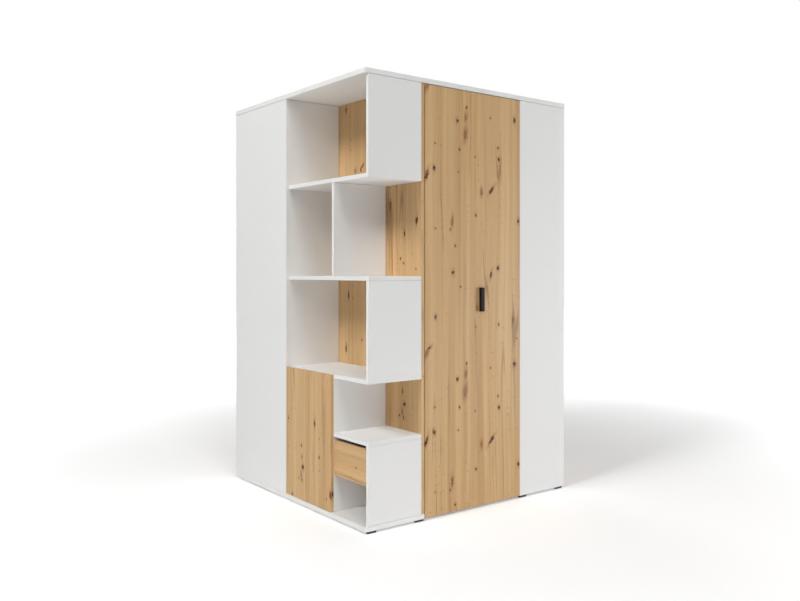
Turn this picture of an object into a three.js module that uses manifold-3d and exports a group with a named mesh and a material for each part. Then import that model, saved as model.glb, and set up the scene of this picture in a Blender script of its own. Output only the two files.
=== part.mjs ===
// Corner wardrobe: an open shelf unit on the left face, a folding oak door on the right face.
// Millimetres, +Z up. X runs along the door face, Y along the shelf face, both away from the
// near corner. The assembly is centred on its footprint and stands on Z = 0.
import * as THREE from 'three';
import { mergeVertices } from 'three/addons/utils/BufferGeometryUtils.js';
import Module from 'manifold-3d';

const wasm = await Module();
wasm.setup();

// Body
const bodyWidth = 1250;
const bodyDepth = 1210;
const overallHeight = 1970;
const footHeight = 10;
const slab = 22;
const board = 16;
const shelfBoard = 18;
const sheet = 3;
const seatGap = 0.3;
const sheetSetback = 8;
const overrun = 5;

// Shelf unit; the rows above the cupboard share the height that is left
const cupboardRow = 599;
const nicheRows = 3;
const rightBay = 251;
const leftBay = 385;
const nicheDepth = 289;
const smallShelfRise = 338;

// Doorway and the white panel beside it
const doorway = 604;
const doorwayNotch = 80;
const baseLip = 1;
const frontPanelLap = 1;
const partitionDepth = 404;

// Folding door
const leafSideGap = 2;
const leafHingeGap = 4;
const leafTopGap = 4;
const leafFootGap = 1.5;
const foldGap = 0.8;
const pivotInset = 45;
const pivotLine = 10;
const pinRadius = 3;
const pinDepth = 28;
const pinFit = 0.3;
const collarRadius = 5;
const guideShaftRadius = 2.5;
const trackInside = 7;
const trackWall = 1.2;
const trackHeight = 10;
const guideHeadHeight = 6.5;
const pivotPlateWidth = 40;
const pivotPlateReach = 52;
const pivotPlateFront = 3;
const pivotPlateSheet = 2;
const bearingLength = 16;

// Butt hinges of the fold
const hingeLength = 60;
const hingeLeafWidth = 20;
const hingeSheet = 1.5;
const knuckleRadius = 3;
const hingePinRadius = 1.3;
const hingeHeightShares = [0.1, 0.5, 0.9];

// Shell handle
const handleHeight = 112;
const handleWidth = 20;
const handleProjection = 16;
const handleBar = 4.5;
const handlePost = 8;
const handleWall = 3;
const handleCorner = 2.5;
const handleFromFold = 40;

// Small oak door with two cup hinges
const cupboardDoorGap = 2;
const cupboardDoorTopGap = 2;
const cupboardDoorFootGap = 1.5;
const cupboardDoorStep = 0.5;
const cupBoreRadius = 17.5;
const cupBoreDepth = 11.5;
const cupInset = 22.5;
const cupWall = 0.8;
const cupRim = 2.5;
const hornInside = 19;
const hornOutside = 26;
const hornHeight = 12;
const lugHeight = 6;
const armLength = 80;
const armRoot = 36;
const armThickness = 7;
const hornTipAngle = -70;
const hornRootAngle = -25;
const lugTipAngle = -90;
const lugRootAngle = 5;
const cupHingeHeightShares = [0.17, 0.83];

// Drawer
const fingerGap = 15;
const drawerFrontHeight = 156;
const drawerFrontGap = 2;
const drawerRunGap = 1.5;
const drawerSide = 12;
const drawerBoxHeight = 120;
const drawerRearGap = 20;
const drawerBoxRise = 10;
const runnerHeight = 11.4;
const runnerWidth = 7.7;
const grooveDepth = 7;
const runnerStart = 40;
const runnerEndGap = 15;

// Feet
const footWidth = 50;
const footDepth = 18;
const footCorner = 2;
const footSetback = 2;
const firstFootInset = 14;
const lastFootInset = 36;
const rearFootInset = 60;

// Inside the walk-in space
const innerShelfRises = [620, 1240];
const innerShelfSetback = 16;
const cornerPostWidth = 116;
const railRadius = 12.5;
const railWall = 1.5;
const railFit = 0.3;
const railDrop = 150;
const railLine = 900;
const railMargin = 24;
const railBracketInset = 75;
const bracketFlangeRadius = 24;
const bracketFlange = 3;
const bracketStemRadius = 6;
const bracketRingWall = 4;
const bracketRingWidth = 14;

// Round pieces are faceted with these counts
const fineSides = 32;
const pinSides = 20;
const cornerSteps = 4;

// Levels, from the floor
const baseUnder = footHeight;
const baseTop = baseUnder + slab;
const shelf3Under = baseTop + cupboardRow;
const shelf3Top = shelf3Under + shelfBoard;
const topUnder = overallHeight - slab;
const nicheRow = (topUnder - shelf3Top - (nicheRows - 1) * shelfBoard) / nicheRows;
const shelf2Under = shelf3Top + nicheRow;
const shelf2Top = shelf2Under + shelfBoard;
const shelf1Under = shelf2Top + nicheRow;
const shelf1Top = shelf1Under + shelfBoard;
const shelf4Under = baseTop + smallShelfRise;
const shelf4Top = shelf4Under + shelfBoard;
const carcassFoot = baseTop + seatGap;
const carcassHead = topUnder - seatGap;

// Planes along X
const shelfFront = board;
const nicheBack = shelfFront + nicheDepth;
const nicheBackFar = nicheBack + board;
const doorwayEnd = nicheBackFar + doorway;
const backSheetX = bodyWidth - seatGap - sheet;
const boardEndX = backSheetX - seatGap;

// Planes along Y
const rightBayFar = board + rightBay;
const dividerFar = rightBayFar + board;
const nicheEnd = dividerFar + leftBay;
const nicheEndFar = nicheEnd + board;
const backSheetY = bodyDepth - seatGap - sheet;
const boardEndY = backSheetY - seatGap;

// Folding door, leaf edges, pivot, fold and guide
const leafStart = nicheBackFar + leafHingeGap;
const leafEnd = doorwayEnd - leafSideGap;
const leafFoot = baseUnder + leafFootGap;
const leafHead = topUnder - leafTopGap;
const pivotX = leafStart + pivotInset;
const guideX = leafEnd - pivotInset;
const foldX = (pivotX + guideX) / 2;
const foldAxisY = board + seatGap + knuckleRadius;
const trackWidth = trackInside + 2 * trackWall;

// Small door
const frontPanelStart = nicheEnd - frontPanelLap;
const cupboardDoorEdge = frontPanelStart - cupboardDoorGap;
const cupboardDoorFoot = baseTop + cupboardDoorFootGap;
const cupboardDoorHead = shelf3Top - cupboardDoorTopGap;

const oak = new THREE.MeshStandardMaterial({ color: 0xbb9a71, roughness: 0.55, metalness: 0 });
const white = new THREE.MeshStandardMaterial({ color: 0xe2e2e1, roughness: 0.5, metalness: 0 });
const hardboard = new THREE.MeshStandardMaterial({ color: 0xdcdad4, roughness: 0.7, metalness: 0 });
const blackMetal = new THREE.MeshStandardMaterial({ color: 0x232323, roughness: 0.45, metalness: 0.6 });
const blackPlastic = new THREE.MeshStandardMaterial({ color: 0x1c1c1c, roughness: 0.6, metalness: 0 });
const steel = new THREE.MeshStandardMaterial({ color: 0xb4b6b8, roughness: 0.35, metalness: 0.9 });
const aluminium = new THREE.MeshStandardMaterial({ color: 0xc4c6c8, roughness: 0.4, metalness: 0.85 });

const wardrobe = new THREE.Group();
wardrobe.position.set(-bodyWidth / 2, -(bodyDepth - handleProjection) / 2, 0);

// Adds one named piece to the wardrobe.
function addPiece(name, material, geometry) {
  const mesh = new THREE.Mesh(geometry, material);
  mesh.name = name;
  wardrobe.add(mesh);
  return mesh;
}

// A box between two opposite corners, in place.
function boxBetween(low, high) {
  const size = high.map((value, axis) => value - low[axis]);
  const geometry = new THREE.BoxGeometry(...size);
  return geometry.translate(...low.map((value, axis) => value + size[axis] / 2));
}

// A flat board, placed by its centre.
function addBoard(name, material, low, high) {
  const size = high.map((value, axis) => value - low[axis]);
  const mesh = addPiece(name, material, new THREE.BoxGeometry(...size));
  mesh.position.set(...low.map((value, axis) => value + size[axis] / 2));
  return mesh;
}

// Solids for cutting and joining.
function solidOf(geometry) {
  const bare = geometry.clone();
  bare.deleteAttribute('normal');
  bare.deleteAttribute('uv');
  const merged = mergeVertices(bare);
  const vertProperties = new Float32Array(merged.attributes.position.array);
  const triVerts = new Uint32Array(merged.index.array);
  return new wasm.Manifold(new wasm.Mesh({ numProp: 3, vertProperties, triVerts }));
}

function geometryOf(solid) {
  const mesh = solid.getMesh();
  const geometry = new THREE.BufferGeometry();
  geometry.setAttribute('position', new THREE.BufferAttribute(new Float32Array(mesh.vertProperties), 3));
  geometry.setIndex(Array.from(mesh.triVerts));
  const flat = geometry.toNonIndexed();
  flat.computeVertexNormals();
  return flat;
}

function cutFrom(body, cutters) {
  const solid = cutters.reduce((rest, cutter) => rest.subtract(solidOf(cutter)), solidOf(body));
  return geometryOf(solid);
}

function joined(bodies) {
  return geometryOf(bodies.map(solidOf).reduce((whole, body) => whole.add(body)));
}

// An upright round bar between two levels.
function uprightBar(radius, x, y, low, high, sides = pinSides) {
  const geometry = new THREE.CylinderGeometry(radius, radius, high - low, sides);
  return geometry.rotateX(Math.PI / 2).translate(x, y, (low + high) / 2);
}

// A turned piece on an upright axis; the outline is given as [radius, level] pairs.
function uprightTurned(outline, x, y) {
  const points = outline.map(([radius, level]) => new THREE.Vector2(radius, level));
  return new THREE.LatheGeometry(points, pinSides).rotateX(Math.PI / 2).translate(x, y, 0);
}

// An outline in the XY plane, raised between two levels.
function raised(shape, low, high) {
  const settings = { depth: high - low, bevelEnabled: false, curveSegments: cornerSteps };
  return new THREE.ExtrudeGeometry(shape, settings).translate(0, 0, low);
}

// An outline in the YZ plane, drawn out along X.
function drawnAlongX(shape, start, end, curveSegments = cornerSteps) {
  const settings = { depth: end - start, bevelEnabled: false, curveSegments };
  const turn = new THREE.Matrix4().makeBasis(
    new THREE.Vector3(0, 1, 0),
    new THREE.Vector3(0, 0, 1),
    new THREE.Vector3(1, 0, 0),
  );
  return new THREE.ExtrudeGeometry(shape, settings).applyMatrix4(turn).translate(start, 0, 0);
}

function outlineOf(points) {
  return new THREE.Shape(points.map(([x, y]) => new THREE.Vector2(x, y)));
}

// A rectangle with round corners.
function roundedRectangle(left, low, right, high, radius) {
  const shape = new THREE.Shape();
  shape.moveTo(left + radius, low);
  shape.lineTo(right - radius, low);
  shape.absarc(right - radius, low + radius, radius, -Math.PI / 2, 0, false);
  shape.lineTo(right, high - radius);
  shape.absarc(right - radius, high - radius, radius, 0, Math.PI / 2, false);
  shape.lineTo(left + radius, high);
  shape.absarc(left + radius, high - radius, radius, Math.PI / 2, Math.PI, false);
  shape.lineTo(left, low + radius);
  shape.absarc(left + radius, low + radius, radius, Math.PI, 1.5 * Math.PI, false);
  return shape;
}

// Top board, with the groove for the guide track in its underside.
function addTopBoard() {
  const plate = boxBetween([0, 0, topUnder], [bodyWidth, bodyDepth, overallHeight]);
  const groove = boxBetween(
    [leafStart - seatGap, pivotLine - trackWidth / 2 - seatGap, topUnder - overrun],
    [leafEnd + seatGap, pivotLine + trackWidth / 2 + seatGap, topUnder + trackHeight + seatGap],
  );
  addPiece('top_board', white, cutFrom(plate, [groove]));
}

// Base board: it reaches both faces at the shelf unit and steps back behind the folding door.
function addBaseBoard() {
  const outline = outlineOf([
    [0, 0],
    [nicheBackFar + baseLip, 0],
    [nicheBackFar + baseLip, doorwayNotch],
    [doorwayEnd, doorwayNotch],
    [doorwayEnd, board + seatGap],
    [boardEndX, board + seatGap],
    [boardEndX, boardEndY],
    [0, boardEndY],
  ]);
  addPiece('base_board', white, raised(outline, baseUnder, baseTop));
}

// Shelf unit: oak back, end panel, shelves, dividers and the white panels on the door face.
function addShelfUnit() {
  const backLow = [nicheBack, 0, carcassFoot];
  addBoard('niche_back_panel', oak, backLow, [nicheBackFar, nicheEndFar, carcassHead]);
  const shelfFar = nicheBack - seatGap;
  const endLow = [shelfFront + seatGap, nicheEnd, carcassFoot];
  addBoard('niche_end_panel', white, endLow, [shelfFar, nicheEndFar, carcassHead]);

  const shelfEnd = nicheEnd - seatGap;
  const insidePanel = board + seatGap;
  const shelves = [
    ['shelf_1', insidePanel, shelfEnd, shelf1Under],
    ['shelf_2', 0, shelfEnd, shelf2Under],
    ['shelf_3', insidePanel, shelfEnd, shelf3Under],
    ['shelf_4', 0, rightBayFar - seatGap, shelf4Under],
  ];
  for (const [name, start, end, under] of shelves) {
    addBoard(name, white, [shelfFront, start, under], [shelfFar, end, under + shelfBoard]);
  }

  const dividers = [
    ['divider_upper', shelf2Top + seatGap, shelf1Under - seatGap],
    ['divider_lower', carcassFoot, shelf3Under - seatGap],
  ];
  for (const [name, low, high] of dividers) {
    addBoard(name, white, [shelfFront, rightBayFar, low], [shelfFar, dividerFar, high]);
  }

  const sidePanels = [
    ['side_panel_upper', shelf1Under, carcassHead],
    ['side_panel_middle', shelf3Under, shelf2Under - seatGap],
    ['side_panel_lower', carcassFoot, shelf4Under - seatGap],
  ];
  for (const [name, low, high] of sidePanels) {
    addBoard(name, white, [shelfFront, 0, low], [shelfFar, board, high]);
  }
}

// White front panels, the boards that carry them, and the back sheets.
function addOuterShell() {
  const head = carcassHead;
  addBoard('front_panel_left', white, [0, frontPanelStart, carcassFoot], [board, boardEndY, head]);
  addBoard('front_panel_right', white, [doorwayEnd, 0, baseUnder], [boardEndX, board, head]);

  const behind = board + seatGap;
  const postStart = boardEndY - board;
  const alcoveEnd = nicheBack - seatGap;
  addBoard('left_end_panel', white, [behind, postStart, carcassFoot], [alcoveEnd, boardEndY, head]);

  const partitionFar = behind + partitionDepth;
  const partitionEnd = doorwayEnd + board;
  const endStart = boardEndX - board;
  addBoard('door_partition', white, [doorwayEnd, behind, carcassFoot], [partitionEnd, partitionFar, head]);
  addBoard('right_end_panel', white, [endStart, behind, carcassFoot], [boardEndX, partitionFar, head]);

  const cornerStart = boardEndX - cornerPostWidth;
  addBoard('corner_post', white, [cornerStart, postStart, carcassFoot], [boardEndX, boardEndY, head]);

  const farX = backSheetX + sheet;
  const farY = backSheetY + sheet;
  addBoard('back_sheet_right', hardboard, [backSheetX, sheetSetback, baseUnder], [farX, farY, head]);
  addBoard('back_sheet_rear', hardboard, [sheetSetback, backSheetY, baseUnder], [boardEndX, farY, head]);
}

// Shelves inside: two in the alcove behind the left panel, two in the bay behind the right one.
function addInnerShelves() {
  const behind = board + seatGap;
  const alcoveStart = nicheEndFar + seatGap;
  const alcoveEnd = boardEndY - board - seatGap;
  const alcoveFar = nicheBack - seatGap;
  const bayStart = doorwayEnd + board + seatGap;
  const bayEnd = boardEndX - board - seatGap;
  const bayFar = behind + partitionDepth - innerShelfSetback;
  const levelNames = ['lower', 'upper'];
  innerShelfRises.forEach((rise, index) => {
    const low = baseTop + rise;
    const high = low + board;
    const place = levelNames[index];
    addBoard(`alcove_shelf_${place}`, white, [behind, alcoveStart, low], [alcoveFar, alcoveEnd, high]);
    addBoard(`bay_shelf_${place}`, white, [bayStart, behind, low], [bayEnd, bayFar, high]);
  });
}

// Clothes rail, hung from the top board by two brackets.
function addClothesRail() {
  const railLevel = topUnder - railDrop;
  const railStart = nicheBackFar + railMargin;
  const railEnd = boardEndX - board - railMargin;
  const section = new THREE.Shape();
  section.absarc(railLine, railLevel, railRadius, 0, 2 * Math.PI, false);
  const hollow = new THREE.Path();
  hollow.absarc(railLine, railLevel, railRadius - railWall, 0, 2 * Math.PI, true);
  section.holes.push(hollow);
  addPiece('clothes_rail', steel, drawnAlongX(section, railStart, railEnd, fineSides));

  const places = [railStart + railBracketInset, railEnd - railBracketInset];
  places.forEach((x, index) => {
    const head = topUnder - seatGap;
    const ringRadius = railRadius + railFit + bracketRingWall;
    const flange = uprightBar(bracketFlangeRadius, x, railLine, head - bracketFlange, head, fineSides);
    const stemHead = head - bracketFlange / 2;
    const stem = uprightBar(bracketStemRadius, x, railLine, railLevel + railRadius, stemHead);
    const ring = new THREE.CylinderGeometry(ringRadius, ringRadius, bracketRingWidth, fineSides);
    ring.rotateZ(Math.PI / 2).translate(x, railLine, railLevel);
    const bore = new THREE.CylinderGeometry(
      railRadius + railFit,
      railRadius + railFit,
      bracketRingWidth + overrun,
      fineSides,
    );
    bore.rotateZ(Math.PI / 2).translate(x, railLine, railLevel);
    addPiece(`rail_bracket_${index + 1}`, steel, cutFrom(joined([flange, stem, ring]), [bore]));
  });
}

// Flat plastic feet under the base board.
function addFeet() {
  const half = footWidth / 2;
  const front = footSetback + footDepth / 2;
  const rear = boardEndY - rearFootInset;
  const last = boardEndX - lastFootInset;
  const places = [
    [firstFootInset + half, front],
    [nicheBackFar + baseLip - half, front],
    [doorwayEnd + half, front],
    [last, front],
    [rearFootInset + half, rear],
    [nicheBackFar, rear],
    [last, rear],
  ];
  places.forEach(([x, y], index) => {
    const depth = footDepth / 2;
    const outline = roundedRectangle(x - half, y - depth, x + half, y + depth, footCorner);
    addPiece(`foot_${index + 1}`, blackPlastic, raised(outline, 0, footHeight - seatGap));
  });
}

// Drawer box, its inset oak front and the runner strips in the bay.
function addDrawer() {
  const frontTop = shelf4Under - fingerGap;
  const frontFoot = frontTop - drawerFrontHeight;
  const frontFar = shelfFront + board;
  const frontStart = board + drawerFrontGap;
  const frontEnd = rightBayFar - drawerFrontGap;
  addBoard('drawer_front', oak, [shelfFront, frontStart, frontFoot], [frontFar, frontEnd, frontTop]);

  const boxStart = frontFar + seatGap;
  const boxEnd = nicheBack - drawerRearGap;
  const boxFoot = frontFoot + drawerBoxRise;
  const boxTop = boxFoot + drawerBoxHeight;
  const nearFace = board + drawerRunGap;
  const farFace = rightBayFar - drawerRunGap;
  const grooveMiddle = (boxFoot + boxTop) / 2;
  const grooveFoot = grooveMiddle - runnerHeight / 2 - seatGap;
  const grooveTop = grooveMiddle + runnerHeight / 2 + seatGap;

  const sides = [
    ['drawer_side_right', nearFace, nearFace - overrun, nearFace + grooveDepth],
    ['drawer_side_left', farFace - drawerSide, farFace - grooveDepth, farFace + overrun],
  ];
  for (const [name, start, grooveStart, grooveEnd] of sides) {
    const side = boxBetween([boxStart, start, boxFoot], [boxEnd, start + drawerSide, boxTop]);
    const groove = boxBetween(
      [boxStart - overrun, grooveStart, grooveFoot],
      [boxEnd + overrun, grooveEnd, grooveTop],
    );
    addPiece(name, white, cutFrom(side, [groove]));
  }

  const backStart = boxEnd - drawerSide;
  const innerNear = nearFace + drawerSide + seatGap;
  const innerFar = farFace - drawerSide - seatGap;
  addBoard('drawer_back', white, [backStart, innerNear, boxFoot], [boxEnd, innerFar, boxTop]);
  const bottomTop = boxFoot - seatGap;
  addBoard(
    'drawer_bottom',
    hardboard,
    [boxStart, nearFace, bottomTop - sheet],
    [boxEnd, farFace, bottomTop],
  );

  const runnerEnd = nicheBack - runnerEndGap;
  const low = grooveMiddle - runnerHeight / 2;
  const high = grooveMiddle + runnerHeight / 2;
  const runners = [
    ['drawer_runner_right', board + seatGap, board + seatGap + runnerWidth],
    ['drawer_runner_left', rightBayFar - seatGap - runnerWidth, rightBayFar - seatGap],
  ];
  for (const [name, near, far] of runners) {
    addBoard(name, blackPlastic, [runnerStart, near, low], [runnerEnd, far, high]);
  }
}

// A sector of a ring about the small door's outer corner, in the XY plane.
function cornerSector(inside, outside, start, end) {
  const shape = new THREE.Shape();
  shape.absarc(0, cupboardDoorEdge, outside, start, end, false);
  shape.absarc(0, cupboardDoorEdge, inside, end, start, true);
  return shape;
}

// Cup hinge: the arm's two horns and the cup's lug curve about the door's outer corner.
function addCupHinge(number, level) {
  const cupX = board - cupBoreDepth + seatGap;
  const cupY = cupboardDoorEdge - cupInset;
  const panelFace = nicheEnd - seatGap;
  const hornTip = THREE.MathUtils.degToRad(hornTipAngle);
  const hornRoot = THREE.MathUtils.degToRad(hornRootAngle);
  const low = level - hornHeight / 2;
  const high = level + hornHeight / 2;

  const horn = raised(cornerSector(hornInside, hornOutside, hornTip, hornRoot), low, high);
  const rootX = hornInside * Math.cos(hornRoot);
  const rootY = cupboardDoorEdge + hornInside * Math.sin(hornRoot);
  const shank = raised(
    outlineOf([
      [rootX, rootY],
      [hornOutside * Math.cos(hornRoot), cupboardDoorEdge + hornOutside * Math.sin(hornRoot)],
      [armRoot, panelFace - armThickness],
      [armLength, panelFace - armThickness],
      [armLength, panelFace],
      [rootX, panelFace],
    ]),
    low,
    high,
  );
  const slot = boxBetween(
    [0, cupboardDoorEdge - 2 * hornOutside, level - lugHeight / 2 - seatGap],
    [armRoot - overrun, nicheEnd + overrun, level + lugHeight / 2 + seatGap],
  );
  addPiece(`hinge_arm_${number}`, steel, cutFrom(joined([horn, shank]), [slot]));

  const cupRadius = cupBoreRadius - seatGap;
  const bowlOutline = [
    [0, cupX],
    [cupRadius, cupX],
    [cupRadius, board + seatGap],
    [cupBoreRadius + cupRim, board + seatGap],
    [cupBoreRadius + cupRim, board + seatGap + cupWall],
    [cupRadius - cupWall, board + seatGap + cupWall],
    [cupRadius - cupWall, cupX + cupWall],
    [0, cupX + cupWall],
  ];
  const points = bowlOutline.map(([radius, depth]) => new THREE.Vector2(radius, depth));
  const bowl = new THREE.LatheGeometry(points, fineSides).rotateZ(-Math.PI / 2);
  bowl.translate(0, cupY, level);
  const lugTip = THREE.MathUtils.degToRad(lugTipAngle);
  const lugRoot = THREE.MathUtils.degToRad(lugRootAngle);
  const lugLow = level - lugHeight / 2;
  const lugHigh = level + lugHeight / 2;
  const lugShape = cornerSector(hornInside + seatGap, hornOutside - seatGap, lugTip, lugRoot);
  const lug = raised(lugShape, lugLow, lugHigh);
  const floorCut = boxBetween(
    [-hornOutside, cupboardDoorEdge - 2 * hornOutside, lugLow - overrun],
    [cupX + cupWall / 2, cupboardDoorEdge + hornOutside, lugHigh + overrun],
  );
  addPiece(`hinge_cup_${number}`, steel, joined([bowl, cutFrom(lug, [floorCut])]));
}

// Small oak door in front of the left bay, hinged beside the white panel.
function addCupboardDoor() {
  const start = rightBayFar + cupboardDoorStep;
  const height = cupboardDoorHead - cupboardDoorFoot;
  const levels = cupHingeHeightShares.map((share) => cupboardDoorFoot + share * height);
  const plate = boxBetween(
    [0, start, cupboardDoorFoot],
    [board - seatGap, cupboardDoorEdge, cupboardDoorHead],
  );
  const bores = levels.map((level) => {
    const length = cupBoreDepth + overrun;
    const bore = new THREE.CylinderGeometry(cupBoreRadius, cupBoreRadius, length, fineSides);
    return bore.rotateZ(Math.PI / 2).translate(
      board - cupBoreDepth + length / 2,
      cupboardDoorEdge - cupInset,
      level,
    );
  });
  addPiece('cupboard_door', oak, cutFrom(plate, bores));
  levels.forEach((level, index) => addCupHinge(index + 1, level));
}

// Two oak leaves, bored for the pins in their ends.
function addLeaves() {
  const boreRadius = pinRadius + pinFit;
  const leftPlate = boxBetween([leafStart, 0, leafFoot], [foldX - foldGap / 2, board, leafHead]);
  const pivotBores = [
    uprightBar(boreRadius, pivotX, pivotLine, leafFoot - overrun, leafFoot + pinDepth),
    uprightBar(boreRadius, pivotX, pivotLine, leafHead - pinDepth, leafHead + overrun),
  ];
  addPiece('door_leaf_left', oak, cutFrom(leftPlate, pivotBores));

  const rightPlate = boxBetween([foldX + foldGap / 2, 0, leafFoot], [leafEnd, board, leafHead]);
  const guideBoreRadius = guideShaftRadius + pinFit;
  const guideBore = uprightBar(guideBoreRadius, guideX, pivotLine, leafHead - pinDepth, leafHead + overrun);
  addPiece('door_leaf_right', oak, cutFrom(rightPlate, [guideBore]));
}

// Track in the top board, the pivots above and below, and the guide pin.
function addDoorGear() {
  const half = trackWidth / 2;
  const trackTop = topUnder + trackHeight;
  const channelTop = trackTop - trackWall;
  const channel = drawnAlongX(
    outlineOf([
      [pivotLine - half, topUnder],
      [pivotLine - half + trackWall, topUnder],
      [pivotLine - half + trackWall, channelTop],
      [pivotLine + half - trackWall, channelTop],
      [pivotLine + half - trackWall, topUnder],
      [pivotLine + half, topUnder],
      [pivotLine + half, trackTop],
      [pivotLine - half, trackTop],
    ]),
    leafStart,
    leafEnd,
  );
  const bearing = boxBetween(
    [pivotX - bearingLength / 2, pivotLine - half + trackWall / 2, topUnder + trackWall / 2],
    [pivotX + bearingLength / 2, pivotLine + half - trackWall / 2, trackTop - trackWall / 2],
  );
  const boreRadius = pinRadius + pinFit;
  const pinTop = channelTop - seatGap;
  const bearingBore = uprightBar(boreRadius, pivotX, pivotLine, topUnder - overrun, channelTop);
  addPiece('guide_track', aluminium, cutFrom(joined([channel, bearing]), [bearingBore]));

  const sunk = leafHead - pinDepth + seatGap;
  addPiece('top_pivot', steel, uprightBar(pinRadius, pivotX, pivotLine, sunk, pinTop));

  const headRadius = trackInside / 2 - pinFit;
  const headFoot = pinTop - guideHeadHeight;
  const guideOutline = [
    [0, sunk],
    [guideShaftRadius, sunk],
    [guideShaftRadius, headFoot],
    [headRadius, headFoot],
    [headRadius, pinTop],
    [0, pinTop],
  ];
  addPiece('guide_pin', steel, uprightTurned(guideOutline, guideX, pivotLine));

  const plateTop = baseUnder - seatGap;
  const plateLow = plateTop - pivotPlateSheet;
  const plate = boxBetween(
    [pivotX - pivotPlateWidth / 2, pivotPlateFront, plateLow],
    [pivotX + pivotPlateWidth / 2, doorwayNotch + pivotPlateReach, plateTop],
  );
  const collarTop = leafFoot - seatGap;
  const pinHead = leafFoot + pinDepth - seatGap;
  const pinOutline = [
    [0, plateLow + pivotPlateSheet / 2],
    [collarRadius, plateLow + pivotPlateSheet / 2],
    [collarRadius, collarTop],
    [pinRadius, collarTop],
    [pinRadius, pinHead],
    [0, pinHead],
  ];
  addPiece('bottom_pivot', steel, joined([plate, uprightTurned(pinOutline, pivotX, pivotLine)]));
}

// One half of a butt hinge on the back of the leaves; side -1 carries the pin.
function addHingeHalf(name, side, level) {
  const near = foldX + side * hingeLeafWidth;
  const clear = foldX + side * (knuckleRadius + pinFit);
  const plateY = board + seatGap;
  const low = level - hingeLength / 2;
  const high = level + hingeLength / 2;
  const third = hingeLength / 3;
  const middleLow = low + third;
  const middleHigh = high - third;
  const plates = (from, to, foot, head) => boxBetween(
    [Math.min(from, to), plateY, foot],
    [Math.max(from, to), plateY + hingeSheet, head],
  );
  const wide = plates(near, clear, low, high);
  const turned = (radius, foot, head) => uprightBar(radius, foldX, foldAxisY, foot, head);
  if (side < 0) {
    const parts = [
      wide,
      plates(near, foldX, low, middleLow - seatGap),
      plates(near, foldX, middleHigh + seatGap, high),
      turned(knuckleRadius, low, middleLow - seatGap),
      turned(knuckleRadius, middleHigh + seatGap, high),
      turned(hingePinRadius, low + seatGap, high - seatGap),
    ];
    addPiece(name, steel, joined(parts));
    return;
  }
  const parts = [
    wide,
    plates(near, foldX, middleLow, middleHigh),
    turned(knuckleRadius, middleLow, middleHigh),
  ];
  const bore = turned(hingePinRadius + pinFit, low - overrun, high + overrun);
  addPiece(name, steel, cutFrom(joined(parts), [bore]));
}

function addFoldHinges() {
  hingeHeightShares.forEach((share, index) => {
    const level = leafFoot + share * (leafHead - leafFoot);
    addHingeHalf(`fold_hinge_left_${index + 1}`, -1, level);
    addHingeHalf(`fold_hinge_right_${index + 1}`, 1, level);
  });
}

// Shell handle on the right leaf, beside the fold. Its left side is closed, as the photograph shows,
// and fingers reach behind its front from the right.
function addHandle() {
  const middle = (leafFoot + leafHead) / 2;
  const low = middle - handleHeight / 2;
  const high = middle + handleHeight / 2;
  const left = foldX + handleFromFold - handleWidth / 2;
  const right = left + handleWidth;
  const front = -handleProjection;
  const rounding = front + handleCorner;
  const outline = new THREE.Shape();
  outline.moveTo(-seatGap, low);
  outline.lineTo(-seatGap, high);
  outline.lineTo(rounding, high);
  outline.absarc(rounding, high - handleCorner, handleCorner, Math.PI / 2, Math.PI, false);
  outline.lineTo(front, low + handleCorner);
  outline.absarc(rounding, low + handleCorner, handleCorner, Math.PI, 1.5 * Math.PI, false);
  const pocket = boxBetween(
    [left + handleWall, front + handleBar, low + handlePost],
    [right + overrun, 0, high - handlePost],
  );
  addPiece('shell_handle', blackMetal, cutFrom(drawnAlongX(outline, left, right), [pocket]));
}

addTopBoard();
addBaseBoard();
addShelfUnit();
addOuterShell();
addInnerShelves();
addClothesRail();
addFeet();
addDrawer();
addCupboardDoor();
addLeaves();
addDoorGear();
addFoldHinges();
addHandle();

export default wardrobe;
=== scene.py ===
"""Corner wardrobe with an open shelf unit, a small oak door, a drawer and a folding oak door.

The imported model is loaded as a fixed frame. Boards, fittings and fixings are built round it as
numpy surfaces, dressed with procedural finishes and set in a plain pale studio. All lengths are
metres in the row frame, where the object faces -X with its shelf unit and -Y with its doors.
"""

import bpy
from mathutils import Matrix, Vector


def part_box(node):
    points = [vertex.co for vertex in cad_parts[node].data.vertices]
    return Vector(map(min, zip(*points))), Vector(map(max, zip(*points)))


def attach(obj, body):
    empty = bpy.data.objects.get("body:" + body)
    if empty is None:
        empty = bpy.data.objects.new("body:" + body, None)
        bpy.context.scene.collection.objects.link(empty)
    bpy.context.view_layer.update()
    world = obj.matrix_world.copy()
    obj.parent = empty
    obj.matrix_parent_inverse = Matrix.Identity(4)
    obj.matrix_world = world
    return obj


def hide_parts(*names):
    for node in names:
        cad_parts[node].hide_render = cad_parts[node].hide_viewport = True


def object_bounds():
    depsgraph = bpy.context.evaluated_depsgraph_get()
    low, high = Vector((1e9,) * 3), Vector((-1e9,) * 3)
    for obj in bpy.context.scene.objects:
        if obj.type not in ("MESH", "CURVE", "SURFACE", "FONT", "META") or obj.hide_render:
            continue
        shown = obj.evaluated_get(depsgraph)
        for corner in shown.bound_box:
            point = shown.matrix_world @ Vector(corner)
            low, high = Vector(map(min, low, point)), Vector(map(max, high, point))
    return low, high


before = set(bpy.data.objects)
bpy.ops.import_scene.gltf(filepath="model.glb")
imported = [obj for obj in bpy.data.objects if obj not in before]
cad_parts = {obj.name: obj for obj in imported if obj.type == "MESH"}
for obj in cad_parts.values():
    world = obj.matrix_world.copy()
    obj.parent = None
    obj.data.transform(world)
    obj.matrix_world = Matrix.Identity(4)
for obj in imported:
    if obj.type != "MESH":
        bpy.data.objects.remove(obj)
CAD_BOX = [list(corner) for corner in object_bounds()]

import logging
import math
from abc import ABC, abstractmethod
from dataclasses import dataclass
from enum import Enum
from typing import Iterable, Sequence, Union

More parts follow.
